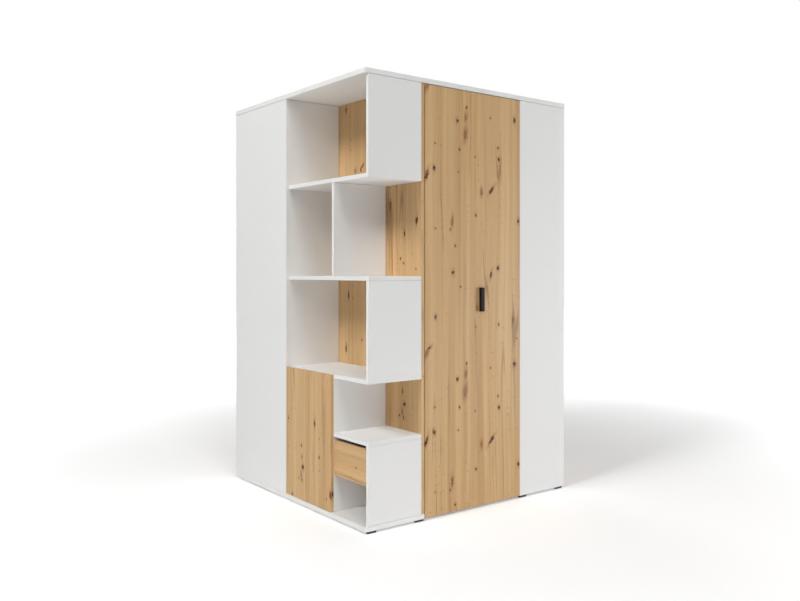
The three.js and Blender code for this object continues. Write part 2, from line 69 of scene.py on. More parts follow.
import bmesh
import bpy
import numpy as np
from mathutils import Vector

LOG = logging.getLogger("wardrobe")
MM = 0.001
PHOTO_WIDTH = 800
PHOTO_HEIGHT = 601
TOP_SEAM_LEVEL = CAD_BOX[1][2] - 30 * MM
TOP_SEAM_SHARE = 2.5
MERGE_DISTANCE = 0.01 * MM
FLAT_ANGLE = math.radians(0.5)
BEVEL_ANGLE = math.radians(40.0)
LOOKS_OUT = "looks_out"

Socket = bpy.types.NodeSocket
Value = Union[float, Sequence[float], Socket]
Point = tuple[float, float, float]
Pair = tuple[float, float]
Box = tuple[np.ndarray, np.ndarray]
Colour = tuple[float, float, float, float]
Inputs = dict[Union[str, int], Value]


class Body(Enum):
    """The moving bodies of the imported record."""

    CARCASS = "carcass"
    LEFT_LEAF = "left_leaf"
    RIGHT_LEAF = "right_leaf"
    SMALL_DOOR = "small_door"
    DRAWER = "drawer"


class Slot(Enum):
    """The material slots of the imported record."""

    OAK = "knotty_oak_decor"
    WHITE = "white_melamine"
    HARDBOARD = "white_hardboard"
    BLACK_METAL = "black_metal"
    BLACK_PLASTIC = "black_plastic"
    STEEL = "steel"
    ALUMINIUM = "aluminium"


class Axis(Enum):
    """A direction of the row frame."""

    X = 0
    Y = 1
    Z = 2


# Camera of the photograph


@dataclass(frozen=True)
class Viewpoint:
    """Where the photograph was taken from, and what its pixels meet.

    The camera looks level, so uprights stay parallel; its window is shifted down, which puts the
    horizon in its row.
    """

    position: Point = (-2.594, -3.403, 1.1096)
    heading: Pair = (0.6089, 0.7933)
    focal_pixels: float = 814.7
    centre_column: float = 400.0
    horizon_row: float = 271.4
    sensor_width: float = 36.0
    farthest: float = 200.0

    def meet(self, pixel: Pair, axis: Axis, level: float) -> np.ndarray:
        """Finds where a pixel's ray meets an upright plane.

        Args:
            pixel: Column and row in the photograph.
            axis: The plane's normal direction.
            level: The plane's place along that direction, in metres.

        Returns:
            The point in the row frame: camera + ray * (level - camera) / ray along the axis.
        """
        forward = np.array([self.heading[0], self.heading[1], 0.0])
        right = np.array([self.heading[1], -self.heading[0], 0.0])
        across = (pixel[0] - self.centre_column) / self.focal_pixels
        down = (pixel[1] - self.horizon_row) / self.focal_pixels
        ray = forward + across * right + np.array([0.0, 0.0, -down])
        start = np.array(self.position)
        return start + ray * (level - start[axis.value]) / ray[axis.value]

    def set_up(self) -> None:
        """Makes the scene's camera, turned level along the heading."""
        data = bpy.data.cameras.new("photo_camera")
        data.sensor_width = self.sensor_width
        data.lens = self.sensor_width * self.focal_pixels / PHOTO_WIDTH
        data.shift_y = (self.horizon_row - PHOTO_HEIGHT / 2) / PHOTO_WIDTH
        data.clip_end = self.farthest
        camera = bpy.data.objects.new("photo_camera", data)
        camera.location = self.position
        camera.rotation_euler = (math.pi / 2, 0.0, math.atan2(-self.heading[0], self.heading[1]))
        bpy.context.scene.collection.objects.link(camera)
        bpy.context.scene.camera = camera


VIEWPOINT = Viewpoint()


# Surfaces


@dataclass(frozen=True)
class Surface:
    """Points and faces of one or more closed shells."""

    points: np.ndarray
    faces: list[list[int]]

    def moved(self, offset: Sequence[float]) -> "Surface":
        """Gives the surface moved by an offset."""
        return Surface(self.points + np.asarray(offset), self.faces)


def join(surfaces: Iterable[Surface]) -> Surface:
    """Puts several surfaces into one.

    Args:
        surfaces: The shells, which stay separate.

    Returns:
        One surface with every shell's points and faces, its indices raised past the ones before.
    """
    points: list[np.ndarray] = []
    faces: list[list[int]] = []
    count = 0
    for surface in surfaces:
        points.append(surface.points)
        faces.extend([index + count for index in face] for face in surface.faces)
        count += len(surface.points)
    return Surface(np.concatenate(points), faces)


def loft(rings: np.ndarray, looped: bool = False) -> Surface:
    """Skins a stack of rings: ring i joins ring i + 1 by quads, point by point.

    Args:
        rings: Array of rings by points by 3, anticlockwise seen from the last ring's side.
        looped: Joins the last ring to the first, else both end rings become caps.

    Returns:
        The closed surface.
    """
    count, sides, _ = rings.shape
    index = np.arange(count * sides).reshape(count, sides)
    near = index if looped else index[:-1]
    far = np.roll(index, -1, axis=0) if looped else index[1:]
    quads = np.stack([near, np.roll(near, -1, axis=1), np.roll(far, -1, axis=1), far], axis=-1)
    faces = quads.reshape(-1, 4).tolist()
    if not looped:
        faces += [index[0][::-1].tolist(), index[-1].tolist()]
    return Surface(rings.reshape(-1, 3), faces)


def placed(local: np.ndarray, axis: Axis) -> np.ndarray:
    """Turns (across, up, along) coordinates into x, y, z by a cyclic change, so no shape is mirrored.

    Args:
        local: Array whose last axis holds the three coordinates.
        axis: The direction that the third coordinate runs in.

    Returns:
        The same points in the row frame.
    """
    return np.roll(local, axis.value + 1, axis=-1)


def shrunk(outline: np.ndarray, inset: float) -> np.ndarray:
    """Moves an outline inwards by a mitre: corner + (n1 + n2) * inset / (1 + n1 . n2).

    Args:
        outline: Corners anticlockwise, as an array of n by 2.
        inset: How far each side moves in, in metres.

    Returns:
        The moved corners; n1 and n2 are the inward unit normals of the two sides at a corner.
    """
    side = np.roll(outline, -1, axis=0) - outline
    side = side / np.linalg.norm(side, axis=1, keepdims=True)
    after = np.stack([-side[:, 1], side[:, 0]], axis=1)
    before = np.roll(after, 1, axis=0)
    spread = 1.0 + np.sum(before * after, axis=1, keepdims=True)
    return outline + (before + after) * inset / spread


def rectangle(low: Sequence[float], high: Sequence[float], radius: float, steps: int = 2) -> np.ndarray:
    """Gives a rectangle's outline with four equal round corners.

    Corner k is an arc about a point that lies one radius in from both its sides; the arc's angle
    starts at 180 + 90 k degrees and runs through a right angle.

    Args:
        low: Lowest corner.
        high: Highest corner.
        radius: Corner radius in metres.
        steps: Straight pieces in each corner.

    Returns:
        The outline, anticlockwise.
    """
    near, far = np.asarray(low[:2]) + radius, np.asarray(high[:2]) - radius
    centres = np.array([[near[0], near[1]], [far[0], near[1]], [far[0], far[1]], [near[0], far[1]]])
    turn = math.pi * (1 + np.arange(4)[:, None] / 2 + np.linspace(0.0, 0.5, steps + 1)[None, :])
    arcs = centres[:, None, :] + radius * np.stack([np.cos(turn), np.sin(turn)], axis=-1)
    return arcs.reshape(-1, 2)


def layered(outline: np.ndarray, levels: Iterable[float], insets: Iterable[float], axis: Axis) -> Surface:
    """Stacks an outline at several levels, shrunk at each one by its own inset, and skins the stack.

    Args:
        outline: Outline anticlockwise, n by 2, in the two directions after the axis.
        levels: Places along the axis, rising.
        insets: How far the outline moves in at each level.
        axis: Direction of the stack.

    Returns:
        The closed surface.
    """
    rings = [np.column_stack([shrunk(outline, inset), np.full(len(outline), level)])
             for level, inset in zip(levels, insets)]
    return loft(placed(np.stack(rings), axis))


def slab(outline: np.ndarray, low: float, high: float, axis: Axis, edge: float, steps: int = 2) -> Surface:
    """Carries an outline from low to high and rounds both rims by a quarter circle.

    At angle t of the rim, from 0 to a right angle, the level is edge * (1 - cos t) from the end and
    the outline is shrunk by edge * (1 - sin t).

    Args:
        outline: Outline anticlockwise, n by 2, in the two directions after the axis.
        low: Lower level along the axis.
        high: Upper level along the axis.
        axis: Direction of the thickness.
        edge: Radius of both rims.
        steps: Straight pieces in each quarter circle.

    Returns:
        The closed surface.
    """
    turn = np.linspace(0.0, math.pi / 2, steps + 1)
    rise = edge * (1 - np.cos(turn))
    inset = edge * (1 - np.sin(turn))
    levels = np.concatenate([low + rise, high - rise[::-1]])
    insets = np.concatenate([inset, inset[::-1]])
    return layered(outline, levels, insets, axis)


def short_of(box: Box, joint: float) -> Box:
    """Takes a joint's width off both ends of an upright board; the seam under the top board is wider.

    Args:
        box: The board's lowest and highest corner.
        joint: Width of the seam at each end, in metres.

    Returns:
        The shortened box.
    """
    low, high = box
    share = TOP_SEAM_SHARE if high[2] > TOP_SEAM_LEVEL else 1.0
    return low + np.array([0.0, 0.0, joint]), high - np.array([0.0, 0.0, share * joint])


def block(low: Sequence[float], high: Sequence[float], edge: float, axis: Axis | None = None) -> Surface:
    """Gives a board or bar with all its edges rounded.

    Args:
        low: Lowest corner in the row frame.
        high: Highest corner in the row frame.
        edge: Radius of the long rims; upright corners get half as much again.
        axis: Direction of the thickness; the thinnest one when left out.

    Returns:
        The closed surface.
    """
    low, high = np.asarray(low, float), np.asarray(high, float)
    axis = axis or Axis(int(np.argmin(high - low)))
    start, end = np.roll(low, -axis.value - 1), np.roll(high, -axis.value - 1)
    return slab(rectangle(start, end, 1.5 * edge), start[2], end[2], axis, edge)


def turned(profile: Sequence[Pair] | np.ndarray, sides: int, axis: Axis, centre: Sequence[float],
           looped: bool = False, flip: bool = False) -> Surface:
    """Turns a profile about an axis: each (radius, level) becomes a ring of equal angles.

    Args:
        profile: Radius and level pairs, by rising level outside; the ends close as caps.
        sides: Points in each ring.
        axis: Direction of the axis of turning.
        centre: Point of the row frame where the level is zero.
        looped: The profile closes on itself, as for a tube.
        flip: Lets the levels count backwards along the axis.

    Returns:
        The closed surface.
    """
    radius, level = np.asarray(profile, float).T
    angle = np.linspace(0.0, 2 * math.pi, sides, endpoint=False) * (-1 if flip else 1)
    level = -level if flip else level
    ring = np.stack([np.cos(angle), np.sin(angle)], axis=-1)
    flat = radius[:, None, None] * ring[None, :, :]
    rings = np.concatenate([flat, np.broadcast_to(level[:, None, None], (len(level), sides, 1))], axis=-1)
    return loft(placed(rings, axis), looped).moved(centre)


def repeated(surface: Surface, places: np.ndarray) -> Surface:
    """Sets a small shape at many places by adding every place to every point at once.

    Args:
        surface: The shape about the origin.
        places: Array of m by 3.

    Returns:
        One surface with m separate shells.
    """
    count = len(surface.points)
    points = (places[:, None, :] + surface.points[None, :, :]).reshape(-1, 3)
    faces = [[index + number * count for index in face]
             for number in range(len(places)) for face in surface.faces]
    return Surface(points, faces)


@dataclass(frozen=True)
class Screw:
    """A pan-head screw with a cross recess, seen from its head."""

    radius: float = 3.4 * MM
    height: float = 1.5 * MM
    recess: float = 1.0 * MM
    sides: int = 24
    rings: tuple[float, ...] = (1.0, 1.0, 0.93, 0.72, 0.52, 0.36, 0.2, 0.06)
    roundness: float = 0.8
    recess_reach: float = 0.6
    recess_slope: float = 0.35
    hub: float = 0.3
    arm_gain: float = 1.6
    arm_floor: float = 0.3

    def head(self, axis: Axis, flip: bool = False) -> Surface:
        """Gives the head on its seat at the origin.

        The height at a share s of the radius is a low dome, height * sqrt(1 - roundness * s^2). The
        recess takes away a cross: its depth falls over the slope to nothing at the reach, and outside
        the hub it also falls with the angle a from an arm, as gain * cos(2 a)^2 - floor. Reach, slope,
        hub and rings are shares of the radius.

        Args:
            axis: The screw's direction.
            flip: The head faces down the axis instead of up.

        Returns:
            The closed head.
        """
        share = np.array(self.rings)[:, None]
        angle = np.linspace(0.0, 2 * math.pi, self.sides, endpoint=False)[None, :]
        dome = self.height * np.sqrt(1 - self.roundness * share ** 2)
        arm = np.clip(self.arm_gain * np.cos(2 * angle) ** 2 - self.arm_floor, 0.0, 1.0)
        fall = np.clip((self.recess_reach - share) / self.recess_slope, 0.0, 1.0)
        level = dome - self.recess * fall * np.maximum(arm, (share < self.hub) * 1.0)
        level[0] = 0.0
        turn = -angle if flip else angle
        level = -level if flip else level
        radius = share * self.radius
        rings = np.stack([radius * np.cos(turn), radius * np.sin(turn), level], axis=-1)
        return loft(placed(rings, axis))


# Meshes and pieces


def mesh_from(name: str, surface: Surface) -> bpy.types.Mesh:
    """Puts a surface into a new mesh.

    Args:
        name: The mesh's name.
        surface: Points and faces.

    Returns:
        The mesh with up-to-date normals.
    """
    mesh = bpy.data.meshes.new(name)
    mesh.from_pydata(surface.points.tolist(), [], surface.faces)
    mesh.update()
    return mesh


def merged_copy(node: str) -> bpy.types.Mesh:
    """Copies a CAD node's mesh and merges its loose triangles into one skin.

    Args:
        node: The node's name.

    Returns:
        The new mesh, with flat areas joined into larger faces.
    """
    shell = bmesh.new()
    shell.from_mesh(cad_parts[node].data)
    bmesh.ops.remove_doubles(shell, verts=shell.verts, dist=MERGE_DISTANCE)
    bmesh.ops.dissolve_limit(shell, angle_limit=FLAT_ANGLE, verts=shell.verts, edges=shell.edges)
    mesh = bpy.data.meshes.new(node)
    shell.to_mesh(mesh)
    shell.free()
    return mesh


def mark_faces(mesh: bpy.types.Mesh, direction: Sequence[float]) -> None:
    """Writes how far each face looks along a direction, as a number for the finishes to read.

    Args:
        mesh: The mesh to mark.
        direction: Unit vector; the value is face normal . direction.
    """
    normals = np.zeros(len(mesh.polygons) * 3)
    mesh.polygons.foreach_get("normal", normals)
    looks = normals.reshape(-1, 3) @ np.asarray(direction, float)
    mesh.attributes.new(LOOKS_OUT, "FLOAT", "FACE").data.foreach_set("value", looks.astype(np.float32))


class Crease(Enum):
    """How a piece's faces shade into each other."""

    BOARD = 60.0
    FITTING = 38.0


def add_piece(name: str, shape: Surface | bpy.types.Mesh, finish: "Finish", body: Body,
              nodes: Sequence[str] = (), bevel: float = 0.0, crease: Crease = Crease.BOARD) -> None:
    """Makes a piece from a shape, dresses it and hangs it on its body.

    Args:
        name: The piece's name.
        shape: A surface or a finished mesh, in the row frame.
        finish: The finish, whose material the piece gets.
        body: The body that it moves with.
        nodes: The CAD nodes that it stands for.
        bevel: Width of a bevel on its sharp edges; none when zero.
        crease: Angle past which an edge stays sharp.
    """
    mesh = shape if isinstance(shape, bpy.types.Mesh) else mesh_from(name, shape)
    if LOOKS_OUT not in mesh.attributes:
        low, high = mesh_box(mesh)
        mark_faces(mesh, np.eye(3)[int(np.argmin(high - low))])
    mesh.materials.clear()
    mesh.materials.append(finish.material())
    mesh.shade_smooth()
    mesh.set_sharp_from_angle(angle=math.radians(crease.value))
    piece = bpy.data.objects.new(name, mesh)
    bpy.context.scene.collection.objects.link(piece)
    if bevel > 0.0:
        soften = piece.modifiers.new("soften", "BEVEL")
        soften.width = bevel
        soften.segments = 2
        soften.limit_method = "ANGLE"
        soften.angle_limit = BEVEL_ANGLE
    even = piece.modifiers.new("even_shading", "WEIGHTED_NORMAL")
    even.weight = 100
    even.keep_sharp = True
    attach(piece, body.value)
    if nodes:
        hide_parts(*nodes)
    LOG.info("%-24s %6d faces  on %s", name, len(mesh.polygons), body.value)


def add_board(node: str, finish: "Finish", body: Body, edge: float, suffix: str = "board",
              joint: float = 0.0) -> None:
    """Replaces a CAD board by a block of its box, short of its ends by the joint."""
    board = block(*short_of(node_box(node), joint), edge)
    add_piece(f"{node}_{suffix}", board, finish, body, [node])


def add_copy(node: str, finish: "Finish", body: Body, suffix: str = "metal", bevel: float = 0.0,
             crease: Crease = Crease.FITTING) -> None:
    """Replaces a CAD node by a merged copy of its mesh, bevelled where a width is given."""
    add_piece(f"{node}_{suffix}", merged_copy(node), finish, body, [node], bevel, crease)


def add_extra(name: str, surface: Surface, finish: "Finish", body: Body,
              crease: Crease = Crease.FITTING) -> None:
    """Adds a piece that stands for no CAD node."""
    add_piece(name, surface, finish, body, crease=crease)


def mesh_box(mesh: bpy.types.Mesh) -> Box:
    """Gives the lowest and highest corner of a mesh."""
    points = np.array([vertex.co[:] for vertex in mesh.vertices])
    return points.min(axis=0), points.max(axis=0)


def node_box(node: str) -> Box:
    """Gives the lowest and highest corner of a CAD node."""
    low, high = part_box(node)
    return np.array(low), np.array(high)


# Shader nodes


def tone(red: float, green: float, blue: float) -> Colour:
    """Turns a screen colour of 0 to 255 into a shader's linear colour.

    Args:
        red: Red as seen on a screen.
        green: Green as seen on a screen.
        blue: Blue as seen on a screen.

    Returns:
        Linear red, green, blue and an alpha of one, by the sRGB curve.
    """
    share = np.array([red, green, blue]) / 255.0
    linear = np.where(share <= 0.04045, share / 12.92, ((share + 0.055) / 1.055) ** 2.4)
    return (float(linear[0]), float(linear[1]), float(linear[2]), 1.0)


class NodeBench:
    """Adds nodes to one node tree, sets their constants and joins their sockets."""

    def __init__(self, tree: bpy.types.NodeTree) -> None:
        """Takes the tree to work on."""
        self.tree = tree

    def node(self, kind: str, inputs: Inputs | None = None, **settings: object) -> bpy.types.Node:
        """Adds a node.

        Args:
            kind: Shader node type without its common first part.
            inputs: Socket name or number to a constant or another node's socket.
            **settings: Properties of the node itself.

        Returns:
            The node.
        """
        made = self.tree.nodes.new("ShaderNode" + kind)
        for name, value in settings.items():
            setattr(made, name, value)
        for key, value in (inputs or {}).items():
            self.feed(made.inputs[key], value)
        return made

    def feed(self, socket: Socket, value: Value) -> None:
        """Sets a socket to a constant, or links another socket to it.

        Args:
            socket: The input to set.
            value: The constant, or another node's output.
        """
        if isinstance(value, bpy.types.NodeSocket):
            self.tree.links.new(value, socket)
        else:
            socket.default_value = value

    def math(self, operation: str, *values: Value) -> Socket:
        """Gives the result of a Math node with the given operation and inputs."""
        return self.node("Math", dict(enumerate(values)), operation=operation).outputs[0]

    def vector(self, operation: str, *values: Value) -> bpy.types.Node:
        """Gives a Vector Math node with the given operation and inputs."""
        return self.node("VectorMath", dict(enumerate(values)), operation=operation)

    def combine(self, across: Value, depth: Value, along: Value) -> Socket:
        """Gives a vector made of three values."""
        return self.node("CombineXYZ", {0: across, 1: depth, 2: along}).outputs[0]

    def noise(self, place: Value, scale: Value, detail: float = 2.0, roughness: float = 0.5) -> Socket:
        """Gives a noise texture's value at a place."""
        inputs = {"Vector": place, "Scale": scale, "Detail": detail, "Roughness": roughness}
        return self.node("TexNoise", inputs).outputs[0]

    def ease(self, value: Value, start: float, end: float, low: float = 0.0, high: float = 1.0) -> Socket:
        """Gives a smooth step that goes from low at start to high at end."""
        inputs = {"Value": value, "From Min": start, "From Max": end, "To Min": low, "To Max": high}
        return self.node("MapRange", inputs, interpolation_type="SMOOTHSTEP").outputs[0]

    def mix(self, share: Value, first: Value, second: Value, blend: str = "MIX") -> Socket:
        """Gives a colour between two, or their blend of the named kind."""
        made = self.node("Mix", {0: share, 6: first, 7: second}, data_type="RGBA", blend_type=blend)
        return made.outputs[2]

    def ramp(self, value: Value, stops: Sequence[tuple[float, Colour]]) -> Socket:
        """Gives the colour of a ramp with the given places and colours.

        Args:
            value: Where on the ramp, from zero to one.
            stops: Place and colour pairs, by rising place.

        Returns:
            The colour there.
        """
        made = self.node("ValToRGB", {0: value})
        elements = made.color_ramp.elements
        for number, (place, colour) in enumerate(stops):
            element = elements[number] if number < len(elements) else elements.new(place)
            element.position = place
            element.color = colour
        return made.outputs[0]

    def bump(self, height: Value, distance: float, strength: float) -> Socket:
        """Gives a normal from a height in metres of the given distance."""
        inputs = {"Height": height, "Distance": distance, "Strength": strength}
        return self.node("Bump", inputs).outputs[0]

    def place(self) -> Socket:
        """Gives the object's own coordinates, in metres."""
        return self.node("TexCoord").outputs["Object"]

    def attribute(self, name: str) -> Socket:
        """Gives the value of a mesh attribute."""
        return self.node("Attribute", attribute_name=name, attribute_type="GEOMETRY").outputs["Fac"]

    def seen(self) -> Socket:
        """Gives one on rays from the camera and on mirrored or refracted rays, else zero.

        Returns:
            The value, for which the tree gets its own LightPath node.
        """
        path = self.node("LightPath").outputs
        direct = self.math("MAXIMUM", path["Is Camera Ray"], path["Is Glossy Ray"])
        return self.math("MAXIMUM", direct, path["Is Transmission Ray"])

    def leave(self, kind: str, shader: bpy.types.Node) -> None:
        """Ends a tree of the kind Material or World in a shader."""
        self.node("Output" + kind, {"Surface": shader.outputs[0]})


def empty_bench(owner: bpy.types.Material | bpy.types.World) -> NodeBench:
    """Gives the cleared node tree of a material or a world.

    Args:
        owner: The material or world, whose nodes are switched on.

    Returns:
        A bench on its tree.
    """
    owner.use_nodes = True
    owner.node_tree.nodes.clear()
    return NodeBench(owner.node_tree)


class Effect(ABC):
    """A shader node group with named inputs and outputs, built once and used by many finishes."""

    name: str = ""
    inputs: dict[str, tuple[str, Value]] = {}
    outputs: dict[str, str] = {}

    @abstractmethod
    def wire(self, bench: NodeBench, given: dict[str, Socket]) -> dict[str, Value]:
        """Builds the group's inside.

        Args:
            bench: The group's node tree.
            given: The group's inputs by name.

        Returns:
            The value of each output by name.
        """

    def tree(self) -> bpy.types.NodeTree:
        """Gives the group's tree, built on first use.

        Returns:
            The tree, its sockets made from the class's inputs and outputs.
        """
        if self.name in bpy.data.node_groups:
            return bpy.data.node_groups[self.name]
        made = bpy.data.node_groups.new(self.name, "ShaderNodeTree")
        for name, (kind, default) in self.inputs.items():
            socket = made.interface.new_socket(name=name, in_out="INPUT", socket_type=kind)
            socket.default_value = default
        for name, kind in self.outputs.items():
            made.interface.new_socket(name=name, in_out="OUTPUT", socket_type=kind)
        bench = NodeBench(made)
        entry = made.nodes.new("NodeGroupInput")
        leave = made.nodes.new("NodeGroupOutput")
        given = {name: entry.outputs[name] for name in self.inputs}
        for name, value in self.wire(bench, given).items():
            bench.feed(leave.inputs[name], value)
        return made

    def use(self, bench: NodeBench, **values: Value) -> dict[str, Socket]:
        """Places the group in a material.

        Args:
            bench: The material's node tree.
            **values: Inputs by name, with underscores for blanks.

        Returns:
            The group's output sockets by name.
        """
        made = bench.tree.nodes.new("ShaderNodeGroup")
        made.node_tree = self.tree()
        for name, value in values.items():
            bench.feed(made.inputs[name.replace("_", " ")], value)
        return {name: made.outputs[name] for name in self.outputs}


FLOAT = "NodeSocketFloat"
VECTOR = "NodeSocketVector"


class WoodGrain(Effect):
    """Straight oak grain: broad bands, streaks, planks, long dark veins, fibres, pores and specks."""

    name = "wood_grain"
    inputs = {"Across": (FLOAT, 0.0), "Along": (FLOAT, 0.0), "Seed": (FLOAT, 0.0)}
    outputs = {"Tone": FLOAT, "Fibre": FLOAT, "Pore": FLOAT, "Warmth": FLOAT, "Vein": FLOAT, "Speck": FLOAT}
    planks_per_metre: float = 10.5
    specks_per_metre: Point = (60.0, 26.0, 0.0)
    tone_offset: float = 0.495

    def wire(self, bench: NodeBench, given: dict[str, Socket]) -> dict[str, Value]:
        """Sums noises that are stretched along the grain; see the class."""
        across, along, seed = given["Across"], given["Along"], given["Seed"]
        drift = bench.noise(bench.combine(bench.math("MULTIPLY", across, 3.0), seed, along), 1.6, 1.0)
        waved = bench.math("MULTIPLY_ADD", drift, 0.035, across)

        def stretched(wide: float, long: float, offset: float, detail: float) -> Socket:
            """Gives noise of the given counts per metre across and along the grain.

            Args:
                wide: Counts per metre across.
                long: Counts per metre along.
                offset: Distance between this noise and the others of the same seed.
                detail: Number of finer octaves.

            Returns:
                The noise's value.
            """
            wide_part = bench.math("MULTIPLY", waved, wide)
            long_part = bench.math("MULTIPLY", along, long)
            moved = bench.math("ADD", seed, offset)
            return bench.noise(bench.combine(wide_part, moved, long_part), 1.0, detail)

        band = stretched(wide=16.0, long=0.45, offset=0.0, detail=1.0)
        streak = stretched(wide=75.0, long=0.9, offset=7.0, detail=3.0)
        fine = stretched(wide=330.0, long=5.0, offset=13.0, detail=2.0)
        fibre = stretched(wide=1100.0, long=22.0, offset=19.0, detail=2.0)
        dash = stretched(wide=900.0, long=45.0, offset=29.0, detail=1.0)
        warmth = stretched(wide=9.0, long=0.8, offset=37.0, detail=2.0)
        number = bench.math("FLOOR", bench.math("MULTIPLY_ADD", across, self.planks_per_metre, seed))
        plank = bench.node("TexWhiteNoise", {"W": number}, noise_dimensions="1D").outputs["Value"]
        tone_sum = bench.math("MULTIPLY", streak, 0.5)
        for part, share in ((band, 0.7), (fine, 0.35), (fibre, 0.3), (plank, 0.06)):
            tone_sum = bench.math("MULTIPLY_ADD", part, share, tone_sum)
        vein = stretched(wide=13.0, long=0.4, offset=43.0, detail=1.0)
        contour = bench.math("ABSOLUTE", bench.math("SUBTRACT", vein, 0.5))
        broken = bench.ease(stretched(wide=20.0, long=2.6, offset=53.0, detail=1.0), 0.42, 0.6)
        spot = bench.vector("MULTIPLY", bench.combine(waved, along, seed), self.specks_per_metre).outputs[0]
        cell = bench.node("TexVoronoi", {"Vector": spot, "Scale": 1.0}, voronoi_dimensions="2D").outputs
        picked = bench.ease(cell["Color"], 0.62, 0.74)
        chosen = bench.math("MULTIPLY", picked, bench.ease(contour, 0.05, 0.02))
        return {
            "Tone": bench.math("SUBTRACT", tone_sum, self.tone_offset),
            "Vein": bench.math("MULTIPLY", bench.ease(contour, 0.016, 0.0), broken),
            "Speck": bench.math("MULTIPLY", bench.ease(cell["Distance"], 0.15, 0.07), chosen),
            "Fibre": bench.math("MULTIPLY_ADD", fine, 0.6, bench.math("MULTIPLY", fibre, 0.4)),
            "Pore": bench.ease(dash, 0.64, 0.74),
            "Warmth": bench.ease(warmth, 0.45, 0.68),
        }


class WoodKnot(Effect):
    """One knot: a ragged dark core, a brown halo with tails along the grain, and grain led round it.

    The place across the grain goes in and comes out led aside, so the knots of a board form a chain.
    """

    name = "wood_knot"
    inputs = {
        "Across": (FLOAT, 0.0), "Along": (FLOAT, 0.0), "Centre": (VECTOR, (0.0, 0.0, 0.0)),
        "Tilt": (VECTOR, (0.0, 0.0, 0.0)), "Size": (VECTOR, (0.01, 1.0, 0.01)),
        "Ragged": (FLOAT, 0.5), "Dark": (FLOAT, 1.0), "Stain": (FLOAT, 0.6),
        "Core so far": (FLOAT, 0.0), "Halo so far": (FLOAT, 0.0),
    }
    outputs = {"Across": FLOAT, "Core": FLOAT, "Halo": FLOAT}
    ragged_gain: float = 2.4
    ragged_offset: float = -1.2
    halo_ragged_share: float = 0.3
    halo_shrink: Point = (0.62, 0.0, 0.36)
    core_fade: Pair = (1.05, 0.45)
    halo_fade: Pair = (1.0, 0.1)
    lead_fade: tuple[float, ...] = (1.25, 0.1, 0.0, -0.6)

    def wire(self, bench: NodeBench, given: dict[str, Socket]) -> dict[str, Value]:
        """Measures the distance in knot sizes; core, halo and lead are smooth steps of it."""
        place = bench.combine(given["Across"], 0.0, given["Along"])
        local = bench.node("Mapping", {
            "Vector": place, "Location": given["Centre"], "Rotation": given["Tilt"], "Scale": given["Size"],
        }, vector_type="TEXTURE").outputs[0]
        rough = bench.math("MULTIPLY_ADD", given["Ragged"], self.ragged_gain, self.ragged_offset)
        near = bench.math("ADD", bench.vector("LENGTH", local).outputs["Value"], rough)
        wide = bench.vector("MULTIPLY", local, self.halo_shrink).outputs[0]
        far = bench.vector("LENGTH", wide).outputs["Value"]
        rough_far = bench.math("MULTIPLY_ADD", rough, self.halo_ragged_share, far)
        core = bench.math("MULTIPLY", bench.ease(near, *self.core_fade), given["Dark"])
        halo = bench.math("MULTIPLY", bench.ease(rough_far, *self.halo_fade), given["Stain"])
        offset = bench.vector("SUBTRACT", place, given["Centre"]).outputs[0]
        side = bench.node("SeparateXYZ", {0: offset}).outputs[0]
        lead = bench.math("MULTIPLY", side, bench.ease(far, *self.lead_fade))
        return {
            "Across": bench.math("ADD", lead, given["Across"]),
            "Core": bench.math("MAXIMUM", core, given["Core so far"]),
            "Halo": bench.math("MAXIMUM", halo, given["Halo so far"]),
        }


class Mottle(Effect):
    """Faint cloudiness and a fine pearl texture, as on pressed decor paper."""

    name = "mottle"
    inputs = {"Place": (VECTOR, (0.0, 0.0, 0.0)), "Cloud scale": (FLOAT, 6.0), "Pearl scale": (FLOAT, 700.0)}
    outputs = {"Cloud": FLOAT, "Pearl": FLOAT}

    def wire(self, bench: NodeBench, given: dict[str, Socket]) -> dict[str, Value]:
        """Two noises of the place, one broad and one fine."""
        cloud = bench.noise(given["Place"], given["Cloud scale"], 3.0)
        pearl = bench.noise(given["Place"], given["Pearl scale"], 1.0)
        return {"Cloud": cloud, "Pearl": pearl}


class BrushedLines(Effect):
    """Fine parallel lines of rolled or drawn metal, along one direction."""

    name = "brushed_lines"
    inputs = {"Place": (VECTOR, (0.0, 0.0, 0.0)), "Stretch": (VECTOR, (900.0, 900.0, 12.0))}
    outputs = {"Line": FLOAT, "Patch": FLOAT}

    def wire(self, bench: NodeBench, given: dict[str, Socket]) -> dict[str, Value]:
        """Noise of the place times the stretch, and a broad patchiness."""
        lines = bench.noise(bench.vector("MULTIPLY", given["Place"], given["Stretch"]).outputs[0], 1.0, 2.0)
        patch = bench.noise(given["Place"], 55.0, 2.0)
        return {"Line": lines, "Patch": patch}


WOOD_GRAIN = WoodGrain()
WOOD_KNOT = WoodKnot()
MOTTLE = Mottle()
BRUSHED_LINES = BrushedLines()


# Finishes


@dataclass(frozen=True)
class Finish(ABC):
    """A surface finish: the record's slot, and a material made once."""

    name: str
    slot: Slot

    @abstractmethod
    def dress(self, bench: NodeBench) -> Inputs:
        """Wires the finish's nodes.

        Args:
            bench: The material's node tree.

        Returns:
            What each input of its Principled shader gets, by the input's name.
        """

    def material(self) -> bpy.types.Material:
        """Gives the finish's material, built on first use.

        Returns:
            The material, with one Principled shader that dress feeds.
        """
        if self.name in bpy.data.materials:
            return bpy.data.materials[self.name]
        made = bpy.data.materials.new(self.name)
        bench = empty_bench(made)
        bench.leave("Material", bench.node("BsdfPrincipled", self.dress(bench)))
        return made


